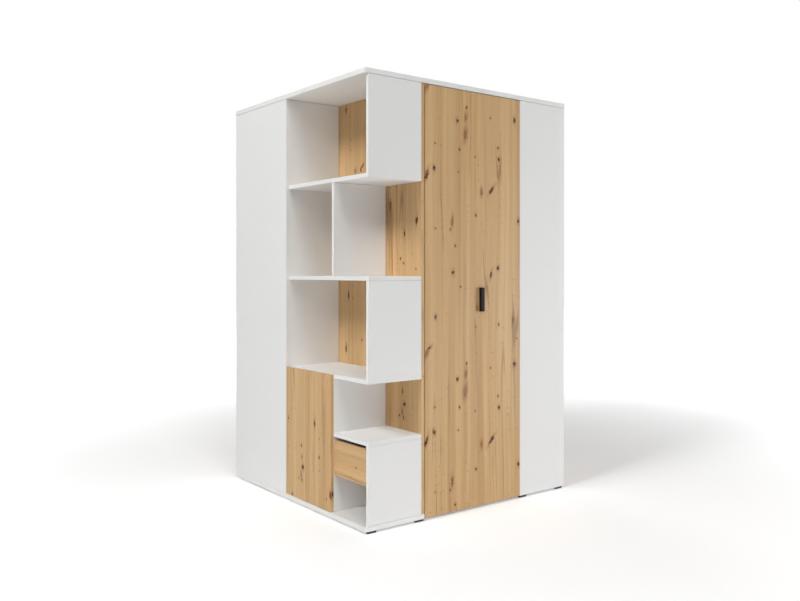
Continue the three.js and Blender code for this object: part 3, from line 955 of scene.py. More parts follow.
@dataclass(frozen=True)
class WhiteMelamine(Finish):
    """White decor board: faint clouding, a pearl surface and a slightly brighter edge band."""

    name: str = "white_melamine"
    slot: Slot = Slot.WHITE
    face: Colour = tone(230, 230, 231)
    shade: Colour = tone(227, 227, 228)
    band: Colour = tone(239, 239, 239)

    def dress(self, bench: NodeBench) -> Inputs:
        """See Finish."""
        marks = MOTTLE.use(bench, Place=bench.place(), Cloud_scale=5.0, Pearl_scale=650.0)
        flat = bench.mix(bench.ease(marks["Cloud"], 0.35, 0.65), self.face, self.shade)
        edge = bench.ease(bench.math("ABSOLUTE", bench.attribute(LOOKS_OUT)), 0.6, 0.3)
        plain = bench.math("MULTIPLY_ADD", edge, -0.08, 0.42)
        return {
            "Base Color": bench.mix(edge, flat, self.band), "Specular IOR Level": 0.4,
            "Roughness": bench.math("MULTIPLY_ADD", marks["Pearl"], 0.14, plain),
            "Normal": bench.bump(marks["Pearl"], distance=0.00006, strength=0.35),
        }


class KnotKind(Enum):
    """Sorts of knot in the oak decor: width and height in millimetres, darkness and stain."""

    PIN = (11.0, 10.0, 0.75, 0.36)
    SMALL = (16.0, 15.0, 0.85, 0.54)
    ROUND = (22.0, 25.0, 1.0, 0.6)
    CRACK = (16.0, 38.0, 0.95, 0.64)
    BIG = (20.5, 52.0, 1.0, 0.58)
    SMUDGE = (28.0, 48.0, 0.3, 0.92)
    STREAK = (19.0, 46.0, 0.55, 0.66)


PIN, SMALL, ROUND, CRACK, BIG, SMUDGE, STREAK = KnotKind


@dataclass(frozen=True)
class Knot:
    """A knot as the photograph shows it: its pixel, its sort, its tilt in degrees and its scale."""

    column: float
    row: float
    kind: KnotKind
    tilt: float = 0.0
    scale: float = 1.0


def knots(*rows: tuple) -> tuple[Knot, ...]:
    """Gives the knots whose fields, in Knot's order, stand in the rows."""
    return tuple(Knot(*row) for row in rows)


@dataclass(frozen=True)
class GrainPlane:
    """How the decor lies on a piece: the plane that it shows on, and its two directions."""

    normal: Axis
    level: float
    across: Axis
    along: Axis


def face_of(node: str, normal: Axis, across: Axis, along: Axis) -> GrainPlane:
    """Gives the grain plane on a node's low side, which is the side that the photograph shows."""
    return GrainPlane(normal, float(node_box(node)[0][normal.value]), across, along)


@dataclass(frozen=True)
class KnottyOak(Finish):
    """Knotty oak decor: grain, planks, pores and the knots that the photograph shows."""

    plane: GrainPlane
    knots: tuple[Knot, ...]
    seed: float = 0.0
    repeat_start: float = 0.0
    repeat_height: float = 0.0
    wood_tones: tuple[tuple[float, Colour], ...] = (
        (0.0, tone(178, 138, 92)), (0.32, tone(198, 159, 111)),
        (0.6, tone(216, 181, 132)), (1.0, tone(231, 200, 152)),
    )
    warm_tint: Colour = (1.03, 0.95, 0.86, 1.0)
    vein_tone: Colour = tone(128, 88, 52)
    pore_tone: Colour = tone(134, 96, 60)
    speck_tone: Colour = tone(96, 62, 36)
    stain_tone: Colour = tone(152, 96, 54)
    core_tone: Colour = tone(70, 40, 20)

    def spot(self, knot: Knot) -> tuple[float, float]:
        """Gives a knot's place across and along the grain, from its pixel."""
        point = VIEWPOINT.meet((knot.column, knot.row), self.plane.normal, self.plane.level)
        return float(point[self.plane.across.value]), float(point[self.plane.along.value])

    def dress(self, bench: NodeBench) -> Inputs:
        """See Finish; the decor repeats below its start where it has a repeat height."""
        parts = bench.node("SeparateXYZ", {0: bench.place()}).outputs
        across = parts[self.plane.across.value]
        along = parts[self.plane.along.value]
        depth = parts[self.plane.normal.value]
        ragged = bench.noise(bench.combine(across, depth, along), scale=120.0, detail=3.0, roughness=0.65)
        along_knots = along
        if self.repeat_height > 0.0:
            foot = self.repeat_start - self.repeat_height
            along_knots = bench.math("WRAP", along, self.repeat_start, foot)
        core: Value = 0.0
        halo: Value = 0.0
        led: Value = across
        for knot in self.knots:
            width, height, dark, stain = knot.kind.value
            centre_across, centre_along = self.spot(knot)
            found = WOOD_KNOT.use(
                bench, Across=led, Along=along_knots, Centre=(centre_across, 0.0, centre_along),
                Tilt=(0.0, math.radians(knot.tilt), 0.0),
                Size=(width * knot.scale * MM / 2, 1.0, height * knot.scale * MM / 2),
                Ragged=ragged, Dark=dark, Stain=stain, Core_so_far=core, Halo_so_far=halo,
            )
            led, core, halo = found["Across"], found["Core"], found["Halo"]
        lifted = bench.math("MULTIPLY_ADD", depth, 0.35, led)
        grain = WOOD_GRAIN.use(bench, Across=lifted, Along=along, Seed=self.seed)
        wood = bench.ramp(grain["Tone"], self.wood_tones)
        warm = bench.mix(bench.math("MULTIPLY", grain["Warmth"], 0.5), wood, self.warm_tint, "MULTIPLY")
        lined = bench.mix(bench.math("MULTIPLY", grain["Vein"], 0.62), warm, self.vein_tone)
        porous = bench.mix(bench.math("MULTIPLY", grain["Pore"], 0.35), lined, self.pore_tone)
        veined = bench.math("MULTIPLY", halo, bench.ease(grain["Fibre"], 0.35, 0.62, 0.4, 1.0))
        specked = bench.mix(bench.math("MULTIPLY", grain["Speck"], 0.65), porous, self.speck_tone)
        stained = bench.mix(veined, specked, self.stain_tone)
        cored = bench.mix(core, stained, self.core_tone)
        rough = bench.math("MULTIPLY_ADD", grain["Fibre"], 0.16, bench.math("MULTIPLY_ADD", core, 0.12, 0.44))
        pressed = bench.math("MULTIPLY_ADD", grain["Pore"], -0.5, grain["Fibre"])
        height = bench.math("MULTIPLY_ADD", core, -0.8, pressed)
        return {
            "Base Color": cored, "Roughness": rough, "Specular IOR Level": 0.35,
            "Normal": bench.bump(height, distance=0.00012, strength=0.5),
        }


@dataclass(frozen=True)
class Hardboard(Finish):
    """Thin fibreboard: white lacquer on its inner face, raw pressed fibre outside and on its edges."""

    name: str = "hardboard"
    slot: Slot = Slot.HARDBOARD
    lacquer: Colour = tone(229, 229, 227)
    fibre: Colour = tone(182, 150, 116)
    fibre_dark: Colour = tone(172, 140, 106)
    fleck_dark: Colour = tone(118, 86, 60)
    fleck_pale: Colour = tone(204, 174, 140)

    def dress(self, bench: NodeBench) -> Inputs:
        """See Finish."""
        place = bench.place()
        marks = MOTTLE.use(bench, Place=place, Cloud_scale=3.0, Pearl_scale=420.0)
        fleck = bench.noise(place, scale=900.0, detail=3.0, roughness=0.7)
        raw = bench.mix(bench.ease(marks["Cloud"], 0.3, 0.7), self.fibre, self.fibre_dark)
        raw = bench.mix(bench.ease(fleck, 0.5, 0.7, 0.0, 0.5), raw, self.fleck_dark)
        raw = bench.mix(bench.ease(marks["Pearl"], 0.55, 0.75, 0.0, 0.4), raw, self.fleck_pale)
        inner = bench.ease(bench.attribute(LOOKS_OUT), -0.5, -0.9)
        return {
            "Base Color": bench.mix(inner, raw, self.lacquer), "Specular IOR Level": 0.3,
            "Roughness": bench.math("MULTIPLY_ADD", inner, -0.3, 0.8),
            "Normal": bench.bump(marks["Pearl"], distance=0.0001, strength=0.5),
        }


@dataclass(frozen=True)
class PowderBlack(Finish):
    """Black powder coat with a fine orange-peel texture."""

    name: str = "powder_black"
    slot: Slot = Slot.BLACK_METAL
    dark: Colour = tone(14, 13, 12)
    light: Colour = tone(20, 18, 17)

    def dress(self, bench: NodeBench) -> Inputs:
        """See Finish."""
        marks = MOTTLE.use(bench, Place=bench.place(), Cloud_scale=60.0, Pearl_scale=1600.0)
        return {
            "Base Color": bench.mix(bench.ease(marks["Cloud"], 0.3, 0.7), self.dark, self.light),
            "Roughness": bench.math("MULTIPLY_ADD", marks["Pearl"], 0.2, 0.46), "Specular IOR Level": 0.14,
            "Normal": bench.bump(marks["Pearl"], distance=0.00008, strength=0.6),
        }


@dataclass(frozen=True)
class MouldedPlastic(Finish):
    """Moulded plastic with a spark-eroded grain."""

    name: str = "moulded_plastic"
    slot: Slot = Slot.BLACK_PLASTIC
    light: Colour = tone(33, 33, 34)
    dark: Colour = tone(25, 25, 26)

    def dress(self, bench: NodeBench) -> Inputs:
        """See Finish."""
        marks = MOTTLE.use(bench, Place=bench.place(), Cloud_scale=35.0, Pearl_scale=1100.0)
        return {
            "Base Color": bench.mix(marks["Cloud"], self.light, self.dark),
            "Roughness": bench.math("MULTIPLY_ADD", marks["Pearl"], 0.25, 0.5),
            "Normal": bench.bump(marks["Pearl"], distance=0.0001, strength=0.5),
        }


@dataclass(frozen=True)
class DrawnMetal(Finish):
    """Plated steel or anodised aluminium with fine drawing lines."""

    light: Colour
    dark: Colour
    gloss: float
    stretch: tuple[float, float, float]

    def dress(self, bench: NodeBench) -> Inputs:
        """See Finish; the roughness starts from gloss, and stretch sets how the lines run."""
        marks = BRUSHED_LINES.use(bench, Place=bench.place(), Stretch=self.stretch)
        return {
            "Base Color": bench.mix(bench.ease(marks["Patch"], 0.3, 0.7), self.light, self.dark),
            "Metallic": 1.0, "Roughness": bench.math("MULTIPLY_ADD", marks["Line"], 0.16, self.gloss),
            "Normal": bench.bump(marks["Line"], distance=0.00003, strength=0.4),
        }


WHITE = WhiteMelamine()
HARDBOARD = Hardboard()
HANDLE_BLACK = PowderBlack()
BLACK_PLASTIC = MouldedPlastic()
GREY_PLASTIC = MouldedPlastic("grey_plastic", Slot.BLACK_PLASTIC, tone(112, 113, 115), tone(100, 101, 103))
WHITE_PLASTIC = MouldedPlastic("white_plastic", Slot.WHITE, tone(234, 234, 233), tone(229, 229, 228))
NICKEL = DrawnMetal(
    "nickel_plate", Slot.STEEL, tone(196, 196, 193), tone(180, 180, 178), 0.22, (350.0, 350.0, 350.0),
)
CHROME = DrawnMetal(
    "bright_chrome", Slot.STEEL, tone(205, 207, 209), tone(196, 198, 200), 0.08, (8.0, 900.0, 900.0),
)
ALUMINIUM = DrawnMetal(
    "anodised_aluminium", Slot.ALUMINIUM, tone(190, 191, 193), tone(178, 179, 181), 0.3, (10.0, 900.0, 900.0),
)


# Sub-assemblies


@dataclass(frozen=True)
class Carcass:
    """Top, base, front panels, end panels, partition and corner post, all white board."""

    edge: float = 1.0 * MM
    joint: float = 0.6 * MM
    boards: tuple[str, ...] = (
        "front_panel_left", "front_panel_right", "left_end_panel", "right_end_panel",
        "door_partition", "corner_post",
    )
    cut_boards: tuple[str, ...] = ("top_board", "base_board")

    def build(self) -> None:
        """Makes the plain boards as surfaces, and softens copies of the two cut ones."""
        for name in self.boards:
            add_board(name, WHITE, Body.CARCASS, self.edge, joint=self.joint)
        for name in self.cut_boards:
            add_copy(name, WHITE, Body.CARCASS, "cut", self.edge, Crease.BOARD)


@dataclass(frozen=True)
class ShelfUnit:
    """Open shelf unit: shelves, dividers, side panels and end panel round an oak back."""

    edge: float = 1.0 * MM
    joint: float = 0.6 * MM
    shelves: tuple[str, ...] = ("shelf_1", "shelf_2", "shelf_3", "shelf_4")
    uprights: tuple[str, ...] = (
        "divider_upper", "divider_lower", "side_panel_upper", "side_panel_middle", "side_panel_lower",
        "niche_end_panel",
    )

    def oak(self) -> KnottyOak:
        """Gives the back panel's decor, with the knots that show in its niches."""
        plane = face_of("niche_back_panel", Axis.X, Axis.Y, Axis.Z)
        return KnottyOak("oak_niche_back", Slot.OAK, plane, knots(
            (346.0, 110.5, CRACK), (350.6, 139.6, PIN), (350.9, 150.3, PIN, 0.0, 0.8),
            (362.7, 165.8, CRACK, -42.0, 0.85), (361.3, 169.0, CRACK, 0.0, 0.75),
            (355.4, 171.2, SMUDGE, 0.0, 0.5), (390.4, 205.4, STREAK, 0.0, 1.2),
            (416.7, 220.0, BIG, -6.0, 0.9), (404.4, 233.7, CRACK, 0.0, 0.8), (400.6, 258.9, SMALL),
            (403.7, 263.5, SMALL, 0.0, 0.8), (415.9, 268.9, PIN), (348.6, 295.2, CRACK),
            (353.0, 297.8, PIN, 40.0), (346.2, 348.2, CRACK, 0.0, 1.15), (362.0, 339.8, SMALL, 0.0, 0.8),
            (404.3, 404.2, ROUND, 0.0, 1.1), (402.4, 411.6, SMUDGE, 8.0, 0.6),
            (399.4, 415.4, SMALL, 20.0, 0.8), (403.2, 417.3, CRACK, 20.0, 0.6),
            (402.7, 391.5, CRACK, 0.0, 0.7),
        ), seed=3.0)

    def build(self) -> None:
        """Makes the white boards and the oak back."""
        for name in self.shelves:
            add_board(name, WHITE, Body.CARCASS, self.edge)
        for name in self.uprights:
            add_board(name, WHITE, Body.CARCASS, self.edge, joint=self.joint)
        back = block(*node_box("niche_back_panel"), self.edge)
        add_piece("niche_back_oak", back, self.oak(), Body.CARCASS, ["niche_back_panel"])


@dataclass(frozen=True)
class InnerShelves:
    """Shelves behind the two white front panels, with caps over their fixings."""

    edge: float = 0.6 * MM
    cap_radius: float = 8.5 * MM
    cap_height: float = 0.9 * MM
    cap_from_end: float = 26.0 * MM
    cap_from_edge: float = 78.0 * MM
    cap_profile: tuple[Pair, ...] = ((1.0, 0.0), (1.0, 0.4), (0.93, 0.8), (0.7, 1.0))
    boards: tuple[str, ...] = (
        "alcove_shelf_lower", "alcove_shelf_upper", "bay_shelf_lower", "bay_shelf_upper",
    )

    def cap_places(self) -> np.ndarray:
        """Gives four places under each shelf; the alcove's shelves end in Y and the bay's in X.

        Returns:
            Array of the caps' places by 3.
        """
        places = []
        for name in self.boards:
            low, high = node_box(name)
            inset = np.array([self.cap_from_end, self.cap_from_edge])
            inset = inset if name.startswith("bay") else inset[::-1]
            near, far = low[:2] + inset, high[:2] - inset
            corners = np.array(np.meshgrid([near[0], far[0]], [near[1], far[1]])).reshape(2, -1).T
            places.append(np.column_stack([corners, np.full(4, low[2])]))
        return np.concatenate(places)

    def build(self) -> None:
        """Makes the shelves and the caps."""
        for name in self.boards:
            add_board(name, WHITE, Body.CARCASS, self.edge)
        profile = np.array(self.cap_profile) * (self.cap_radius, self.cap_height)
        cap = turned(profile, 20, Axis.Z, (0.0, 0.0, 0.0), flip=True)
        add_extra("fixing_caps", repeated(cap, self.cap_places()), WHITE_PLASTIC, Body.CARCASS)


@dataclass(frozen=True)
class BackSheets:
    """Two hardboard sheets on the wall sides, nailed on, each with a joint strip down its middle."""

    edge: float = 0.25 * MM
    strip_width: float = 24.0 * MM
    strip_height: float = 0.9 * MM
    strip_edge: float = 0.36 * MM
    nail_radius: float = 2.6 * MM
    nail_height: float = 0.5 * MM
    nail_inset: float = 9.0 * MM
    nail_pitch: float = 105.0 * MM
    nail_profile: tuple[Pair, ...] = ((1.0, 0.0), (0.95, 0.6), (0.5, 1.0))

    def nails(self, low: np.ndarray, high: np.ndarray, axis: Axis) -> Surface:
        """Gives the nails round one sheet's rim and beside its strip, evenly spaced.

        Args:
            low: The sheet's lowest corner.
            high: The sheet's highest corner.
            axis: The direction that the sheet faces.

        Returns:
            All nail heads as one surface.
        """
        run = 1 - axis.value
        start, end = low[run] + self.nail_inset, high[run] - self.nail_inset
        foot, head = low[2] + self.nail_inset, high[2] - self.nail_inset
        levels = np.linspace(foot, head, int(round((head - foot) / self.nail_pitch)) + 1)
        runs = np.linspace(start, end, int(round((end - start) / self.nail_pitch)) + 1)[1:-1]
        middle = (start + end) / 2
        columns = np.repeat([start, middle - self.strip_width, middle + self.strip_width, end], len(levels))
        uprights = np.column_stack([columns, np.tile(levels, 4)])
        rows = np.column_stack([np.tile(runs, 2), np.repeat([foot, head], len(runs))])
        flat = np.concatenate([uprights, rows])
        places = np.zeros((len(flat), 3))
        places[:, [run, 2]] = flat
        places[:, axis.value] = high[axis.value]
        profile = np.array(self.nail_profile) * (self.nail_radius, self.nail_height)
        return repeated(turned(profile, 8, axis, (0.0, 0.0, 0.0)), places)

    def build(self) -> None:
        """Makes both sheets with their strips and nails."""
        for name, axis in (("back_sheet_right", Axis.X), ("back_sheet_rear", Axis.Y)):
            low, high = node_box(name)
            mesh = mesh_from(name, block(low, high, self.edge))
            mark_faces(mesh, np.eye(3)[axis.value])
            add_piece(f"{name}_hardboard", mesh, HARDBOARD, Body.CARCASS, [name])
            add_extra(f"{name}_nails", self.nails(low, high, axis), NICKEL, Body.CARCASS)
            run = 1 - axis.value
            strip_low, strip_high = low.copy(), high.copy()
            middle = (low[run] + high[run]) / 2
            strip_low[run], strip_high[run] = middle - self.strip_width / 2, middle + self.strip_width / 2
            strip_low[axis.value] = high[axis.value]
            strip_high[axis.value] = high[axis.value] + self.strip_height
            strip = block(strip_low, strip_high, self.strip_edge)
            add_extra(f"{name}_joint_strip", strip, WHITE_PLASTIC, Body.CARCASS, Crease.BOARD)


@dataclass(frozen=True)
class Feet:
    """Flat black feet under the base board: a flange above, and a narrower pad with a chamfered sole."""

    count: int = 7
    corner: float = 3.2 * MM
    pad_inset: float = 2.2 * MM
    sole_chamfer: float = 0.6 * MM
    rim: float = 0.4 * MM
    pad_share: float = 0.7
    flange_share: float = 0.74

    def foot(self, low: np.ndarray, high: np.ndarray) -> Surface:
        """Gives one foot: a round-cornered outline, shrunk by an inset at each of six levels.

        Args:
            low: Lowest corner of its box.
            high: Highest corner of its box.

        Returns:
            The closed foot; the shares say where the pad ends and the flange starts.
        """
        outline = rectangle(low, high, self.corner, 5)
        height = high[2] - low[2]
        levels, insets = zip(
            (0.0, self.pad_inset + self.sole_chamfer), (self.sole_chamfer, self.pad_inset),
            (self.pad_share * height, self.pad_inset), (self.flange_share * height, 0.0),
            (height - self.rim, 0.0), (height, self.rim),
        )
        return layered(outline, low[2] + np.array(levels), insets, Axis.Z)

    def build(self) -> None:
        """Makes the feet."""
        for number in range(1, self.count + 1):
            name = f"foot_{number}"
            foot = self.foot(*node_box(name))
            add_piece(f"{name}_moulded", foot, BLACK_PLASTIC, Body.CARCASS, [name], crease=Crease.FITTING)


@dataclass(frozen=True)
class ClothesRail:
    """Chromed rail hung from the top board by two screwed brackets."""

    wall: float = 1.5 * MM
    lip: float = 0.5 * MM
    sides: int = 40
    screw_circle: float = 17.5 * MM
    screw_angles: tuple[float, ...] = (90.0, 210.0, 330.0)
    flange: float = 3.0 * MM

    def tube(self) -> Surface:
        """Gives the rail as a hollow tube with rounded rims, turned about X.

        Returns:
            The closed tube, whose profile runs along its outside and back along its inside.
        """
        low, high = node_box("clothes_rail")
        outside = (high[2] - low[2]) / 2
        inside = outside - self.wall
        length = high[0] - low[0]
        centre = (low[0], (low[1] + high[1]) / 2, (low[2] + high[2]) / 2)
        outer = [(self.lip, 0.0), (0.0, self.lip), (0.0, length - self.lip), (self.lip, length)]
        profile = [(outside - inset, level) for inset, level in outer]
        profile += [(inside + inset, level) for inset, level in reversed(outer)]
        return turned(profile, self.sides, Axis.X, centre, looped=True)

    def screws(self, node: str) -> Surface:
        """Gives a bracket's three screws under its flange.

        Args:
            node: The bracket's CAD node.

        Returns:
            The heads as one surface.
        """
        low, high = node_box(node)
        angle = np.radians(self.screw_angles)
        middle = (low + high) / 2
        places = np.column_stack([
            middle[0] + self.screw_circle * np.cos(angle), middle[1] + self.screw_circle * np.sin(angle),
            np.full(len(angle), high[2] - self.flange),
        ])
        return repeated(Screw().head(Axis.Z, flip=True), places)

    def build(self) -> None:
        """Makes the rail, its brackets and their screws."""
        rail = "clothes_rail"
        add_piece(f"{rail}_tube", self.tube(), CHROME, Body.CARCASS, [rail], crease=Crease.FITTING)
        for number in (1, 2):
            node = f"rail_bracket_{number}"
            add_copy(node, NICKEL, Body.CARCASS, "cast")
            add_extra(f"{node}_screws", self.screws(node), NICKEL, Body.CARCASS)


@dataclass(frozen=True)
class FoldingDoor:
    """Two oak leaves with pins, track, butt hinges and a shell handle."""

    edge: float = 0.7 * MM
    repeat: float = 1186.0 * MM
    repeat_above: float = 4.0 * MM
    hinge_plate: float = 1.5 * MM
    screw_inset: float = 6.5 * MM
    screw_spread: float = 22.0 * MM
    handle_edge: float = 0.5 * MM

    def oak(self, name: str, marks: tuple[Knot, ...], seed: float) -> KnottyOak:
        """Gives a leaf's decor, whose knots repeat down the leaf.

        Args:
            name: The finish's name.
            marks: The leaf's knots within one repeat.
            seed: Number that sets its grain apart from the other leaf's.

        Returns:
            The finish, which repeats from just above the leaf's top.
        """
        plane = face_of("door_leaf_left", Axis.Y, Axis.X, Axis.Z)
        start = float(node_box("door_leaf_left")[1][2]) + self.repeat_above
        return KnottyOak(name, Slot.OAK, plane, marks, seed, start, self.repeat)

    def left_oak(self) -> KnottyOak:
        """Gives the left leaf's decor."""
        return self.oak("oak_left_leaf", knots(
            (427.0, 86.5, SMUDGE, 20.0, 0.8), (466.6, 107.6, SMALL), (465.8, 117.5, SMUDGE, 4.0, 0.8),
            (457.3, 120.7, ROUND, 0.0, 0.9), (465.2, 134.7, SMUDGE, 8.0, 1.1), (435.2, 143.1, PIN),
            (459.5, 149.3, SMALL), (434.1, 168.1, ROUND), (426.7, 174.7, BIG, 18.0),
            (458.2, 172.0, PIN, 0.0, 1.1), (452.2, 221.7, STREAK, 4.0, 1.1), (450.6, 229.8, SMALL),
            (455.2, 245.5, SMALL, 0.0, 0.9), (453.2, 272.4, ROUND), (460.4, 286.6, SMALL, 0.0, 0.8),
            (435.4, 316.9, ROUND, 0.0, 0.9), (435.3, 228.4, PIN), (428.4, 349.8, BIG, 48.0, 0.9),
        ), 0.0)

    def right_oak(self) -> KnottyOak:
        """Gives the right leaf's decor."""
        return self.oak("oak_right_leaf", knots(
            (490.4, 117.9, PIN, 0.0, 1.2), (514.4, 120.4, ROUND, 0.0, 1.1), (498.0, 148.3, SMALL),
            (498.9, 159.7, ROUND, 0.0, 0.95), (491.6, 190.1, BIG, 40.0), (481.5, 192.2, SMUDGE, 0.0, 0.7),
            (475.0, 157.1, PIN), (476.0, 215.2, SMALL), (518.2, 221.4, ROUND),
            (498.0, 268.0, ROUND, 8.0, 0.95), (490.9, 275.0, BIG, 16.0, 0.85), (498.6, 324.4, SMALL),
            (513.0, 320.0, STREAK, 6.0), (516.5, 338.4, PIN, 0.0, 1.2), (475.8, 326.8, PIN, 0.0, 1.1),
            (476.8, 308.2, SMUDGE, 0.0, 0.5),
        ), 1.0)

    def hinge_screws(self, side: str, number: int) -> Surface:
        """Gives the three screws of one hinge plate, on its back.

        Args:
            side: The plate's leaf, left or right.
            number: The hinge's number.

        Returns:
            The heads as one surface.
        """
        low, high = node_box(f"fold_hinge_{side}_{number}")
        x = low[0] + self.screw_inset if side == "left" else high[0] - self.screw_inset
        levels = (low[2] + high[2]) / 2 + self.screw_spread * np.array([-1.0, 0.0, 1.0])
        places = np.column_stack([np.full(3, x), np.full(3, low[1] + self.hinge_plate), levels])
        return repeated(Screw().head(Axis.Y), places)

    def build(self) -> None:
        """Makes the leaves, their gear and the handle."""
        left, right = Body.LEFT_LEAF, Body.RIGHT_LEAF
        for side, oak, body in (("left", self.left_oak(), left), ("right", self.right_oak(), right)):
            add_copy(f"door_leaf_{side}", oak, body, "oak", self.edge, Crease.BOARD)
            for number in (1, 2, 3):
                hinge = f"fold_hinge_{side}_{number}"
                add_copy(hinge, NICKEL, body, "plate")
                add_extra(f"{hinge}_screws", self.hinge_screws(side, number), NICKEL, body)
        add_copy("shell_handle", HANDLE_BLACK, right, "body", self.handle_edge)
        add_copy("guide_track", ALUMINIUM, Body.CARCASS)
        add_copy("bottom_pivot", NICKEL, Body.CARCASS)
        add_copy("top_pivot", NICKEL, left)
        add_copy("guide_pin", NICKEL, right)


@dataclass(frozen=True)
class CupboardDoor:
    """Small oak door on two cup hinges, with a push latch in place of a handle."""

    edge: float = 0.7 * MM
    latch_length: float = 38.0 * MM
    latch_width: float = 13.0 * MM
    latch_gap: float = 4.0 * MM
    latch_edge: float = 1.2 * MM
    plunger_radius: float = 3.5 * MM
    plunger_root: float = 0.5 * MM
    plunger_profile: tuple[Pair, ...] = ((1.0, 0.0), (1.0, 0.8), (0.8, 1.0))
    screws_from_tip: tuple[float, ...] = (8.4 * MM, 30.8 * MM)
    screw_depth: float = 7.0 * MM

    def oak(self) -> KnottyOak:
        """Gives the door's decor."""
        plane = face_of("cupboard_door", Axis.X, Axis.Y, Axis.Z)
        return KnottyOak("oak_small_door", Slot.OAK, plane, knots(
            (314.5, 423.7, CRACK), (302.7, 467.1, ROUND, 0.0, 1.15), (301.2, 474.4, SMUDGE, 4.0, 0.6),
            (298.9, 478.1, PIN, 30.0, 1.1), (301.8, 480.0, CRACK, 6.0, 0.6), (301.5, 445.5, SMALL),
            (302.0, 457.0, CRACK, 0.0, 0.6), (319.2, 457.5, SMALL), (288.5, 417.8, SMALL, 0.0, 0.8),
            (292.4, 493.9, SMALL), (330.1, 495.1, CRACK), (326.4, 499.2, PIN), (319.6, 470.5, PIN, 0.0, 0.8),
            (319.5, 439.0, PIN, 0.0, 0.7),
        ), seed=5.0)

    def latch(self) -> Surface:
        """Gives the push latch under the third shelf: a rounded body and its plunger.

        Returns:
            Body and plunger as one surface; the plunger reaches the closed door.
        """
        shelf_low, _ = node_box("shelf_3")
        _, divider_high = node_box("divider_lower")
        _, door_high = node_box("cupboard_door")
        low = np.array([shelf_low[0], divider_high[1], shelf_low[2] - self.latch_width])
        low[:2] += self.latch_gap
        high = np.array([low[0] + self.latch_length, low[1] + self.latch_width, shelf_low[2]])
        middle = (low + high) / 2
        profile = np.array(self.plunger_profile) * (self.plunger_radius, low[0] - door_high[0])
        plunger = turned(profile, 20, Axis.X, (low[0] + self.plunger_root, middle[1], middle[2]), flip=True)
        return join([block(low, high, self.latch_edge, Axis.X), plunger])

    def arm_screws(self, number: int) -> Surface:
        """Gives the two screws that hold a hinge arm to the end panel.

        Args:
            number: The hinge's number.

        Returns:
            The heads as one surface.
        """
        low, high = node_box(f"hinge_arm_{number}")
        places = [[high[0] - inset, high[1] - self.screw_depth, (low[2] + high[2]) / 2]
                  for inset in self.screws_from_tip]
        return repeated(Screw().head(Axis.Y, flip=True), np.array(places))

    def build(self) -> None:
        """Makes the door, its hinges and the latch."""
        door = Body.SMALL_DOOR
        add_copy("cupboard_door", self.oak(), door, "oak", self.edge, Crease.BOARD)
        for number in (1, 2):
            arm = f"hinge_arm_{number}"
            add_copy(arm, NICKEL, Body.CARCASS)
            add_extra(f"{arm}_screws", self.arm_screws(number), NICKEL, Body.CARCASS)
            add_copy(f"hinge_cup_{number}", NICKEL, door)
        add_extra("push_latch", self.latch(), GREY_PLASTIC, Body.CARCASS)


@dataclass(frozen=True)
class Drawer:
    """Drawer box with an inset oak front, on plastic strips."""

    edge: float = 0.6 * MM
    sheet_edge: float = 0.25 * MM

    def oak(self) -> KnottyOak:
        """Gives the front's decor, whose grain runs across the drawer."""
        plane = face_of("drawer_front", Axis.X, Axis.Z, Axis.Y)
        return KnottyOak("oak_drawer_front", Slot.OAK, plane, knots((356.0, 468.0, PIN)), seed=8.0)

    def build(self) -> None:
        """Makes the front, the box and the runners."""
        drawer = Body.DRAWER
        add_board("drawer_front", self.oak(), drawer, self.edge, "oak")
        for side in ("right", "left"):
            add_copy(f"drawer_side_{side}", WHITE, drawer, "board", self.edge, Crease.BOARD)
            add_board(f"drawer_runner_{side}", BLACK_PLASTIC, Body.CARCASS, self.edge, "moulded")
        add_board("drawer_back", WHITE, drawer, self.edge)
        bottom = mesh_from("drawer_bottom_sheet", block(*node_box("drawer_bottom"), self.sheet_edge))
        mark_faces(bottom, (0.0, 0.0, -1.0))
        add_piece("drawer_bottom_sheet", bottom, HARDBOARD, drawer, ["drawer_bottom"])


# Studio


@dataclass(frozen=True)
class Lamp:
    """A soft square lamp aimed at a point; its spread is the full angle of its beam, in degrees."""

    name: str
    place: Point
    aim: Point
    size: float
    power: float
    spread: float = 180.0

    def hang(self) -> None:
        """Adds the lamp to the scene."""
        data = bpy.data.lights.new(self.name, "AREA")
        data.size = self.size
        data.energy = self.power
        data.spread = math.radians(self.spread)
        lamp = bpy.data.objects.new(self.name, data)
        lamp.location = self.place
        direction = Vector(self.aim) - Vector(self.place)
        lamp.rotation_euler = direction.to_track_quat("-Z", "Y").to_euler()
        bpy.context.scene.collection.objects.link(lamp)


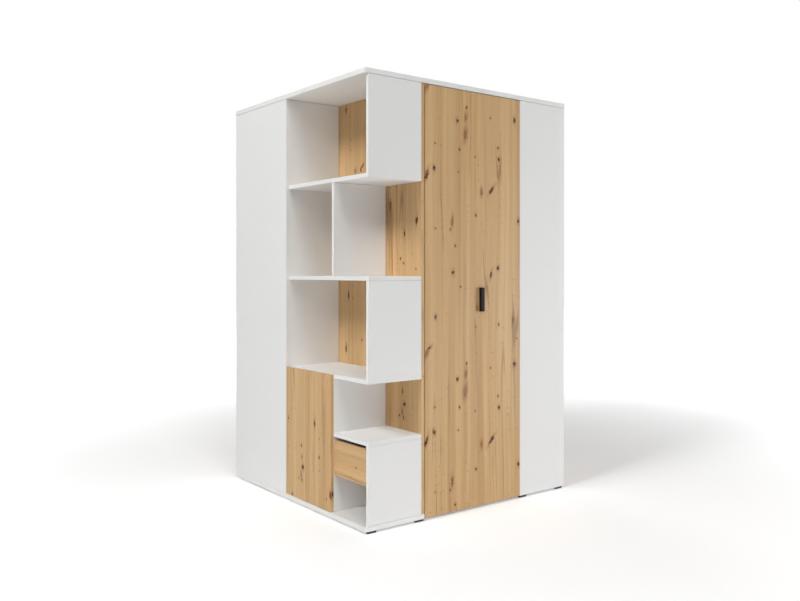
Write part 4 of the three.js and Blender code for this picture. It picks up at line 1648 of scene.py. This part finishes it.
@dataclass(frozen=True)
class Studio:
    """Pale floor, white surroundings and soft light."""

    floor_half: float = 16.0
    floor_corner: float = 1.0
    floor_thickness: float = 0.02
    floor_edge: float = 0.005
    floor_dark: Colour = tone(247, 247, 247)
    floor_light: Colour = tone(249, 249, 249)
    lift_from: float = 1.0
    lift_to: float = 5.5
    lift_near: float = 0.3
    white: Colour = (1.0, 1.0, 1.0, 1.0)
    ambient: float = 0.02
    lamps: tuple[Lamp, ...] = (
        Lamp("key_left", (-6.9, -1.1, 6.7), (0.0, 0.0, 0.9), 2.6, 434.0),
        Lamp("key_front", (-2.4, -6.5, 6.7), (0.0, 0.0, 0.9), 2.6, 194.0),
        Lamp("fill_low", (-3.3, -4.1, 0.4), (-1.2, -1.6, 0.0), 1.0, 1.6, 38.0),
        Lamp("fill_right", (4.6, -3.4, 0.62), (0.1, -0.6, 0.4), 1.2, 108.0),
        Lamp("fill_back", (3.0, 10.0, 7.0), (0.0, 0.0, 0.9), 5.0, 260.0),
    )

    def floor(self) -> None:
        """Makes the floor: a wide thin slab, its top at level zero, lifted to white away from the object."""
        half = self.floor_half
        outline = rectangle((-half, -half), (half, half), self.floor_corner, 4)
        mesh = mesh_from("studio_floor", slab(outline, -self.floor_thickness, 0.0, Axis.Z, self.floor_edge))
        made = bpy.data.materials.new("studio_floor")
        bench = empty_bench(made)
        place = bench.place()
        distance = bench.vector("LENGTH", place).outputs["Value"]
        lift = bench.ease(distance, self.lift_from, self.lift_to, self.lift_near, 1.0)
        bench.leave("Material", bench.node("BsdfPrincipled", {
            "Base Color": bench.mix(bench.noise(place, 1.5, 2.0), self.floor_dark, self.floor_light),
            "Roughness": 0.9, "Specular IOR Level": 0.1, "Emission Color": self.white,
            "Emission Strength": bench.math("MULTIPLY", bench.seen(), lift),
        }))
        mesh.materials.append(made)
        floor = bpy.data.objects.new("studio_floor", mesh)
        bpy.context.scene.collection.objects.link(floor)

    def world(self) -> None:
        """Makes white surroundings: full white where seen or mirrored, softer where they only light."""
        world = bpy.data.worlds.new("studio_world")
        bench = empty_bench(world)
        light = bench.node("Background", {"Color": self.white, "Strength": self.ambient}).outputs[0]
        backdrop = bench.node("Background", {"Color": self.white, "Strength": 1.0}).outputs[0]
        bench.leave("World", bench.node("MixShader", {0: bench.seen(), 1: light, 2: backdrop}))
        bpy.context.scene.world = world

    def build(self) -> None:
        """Sets up camera, colour handling, floor, surroundings and lamps."""
        VIEWPOINT.set_up()
        bpy.context.scene.view_settings.view_transform = "Standard"
        self.floor()
        self.world()
        for lamp in self.lamps:
            lamp.hang()


def main() -> None:
    """Builds the wardrobe's sub-assemblies in order, then the studio."""
    logging.basicConfig(level=logging.INFO, format="%(name)s %(message)s")
    assemblies = (
        Carcass(), ShelfUnit(), InnerShelves(), BackSheets(), Feet(), ClothesRail(),
        FoldingDoor(), CupboardDoor(), Drawer(), Studio(),
    )
    for assembly in assemblies:
        LOG.info("building %s", type(assembly).__name__)
        assembly.build()


if __name__ == "__main__":
    main()
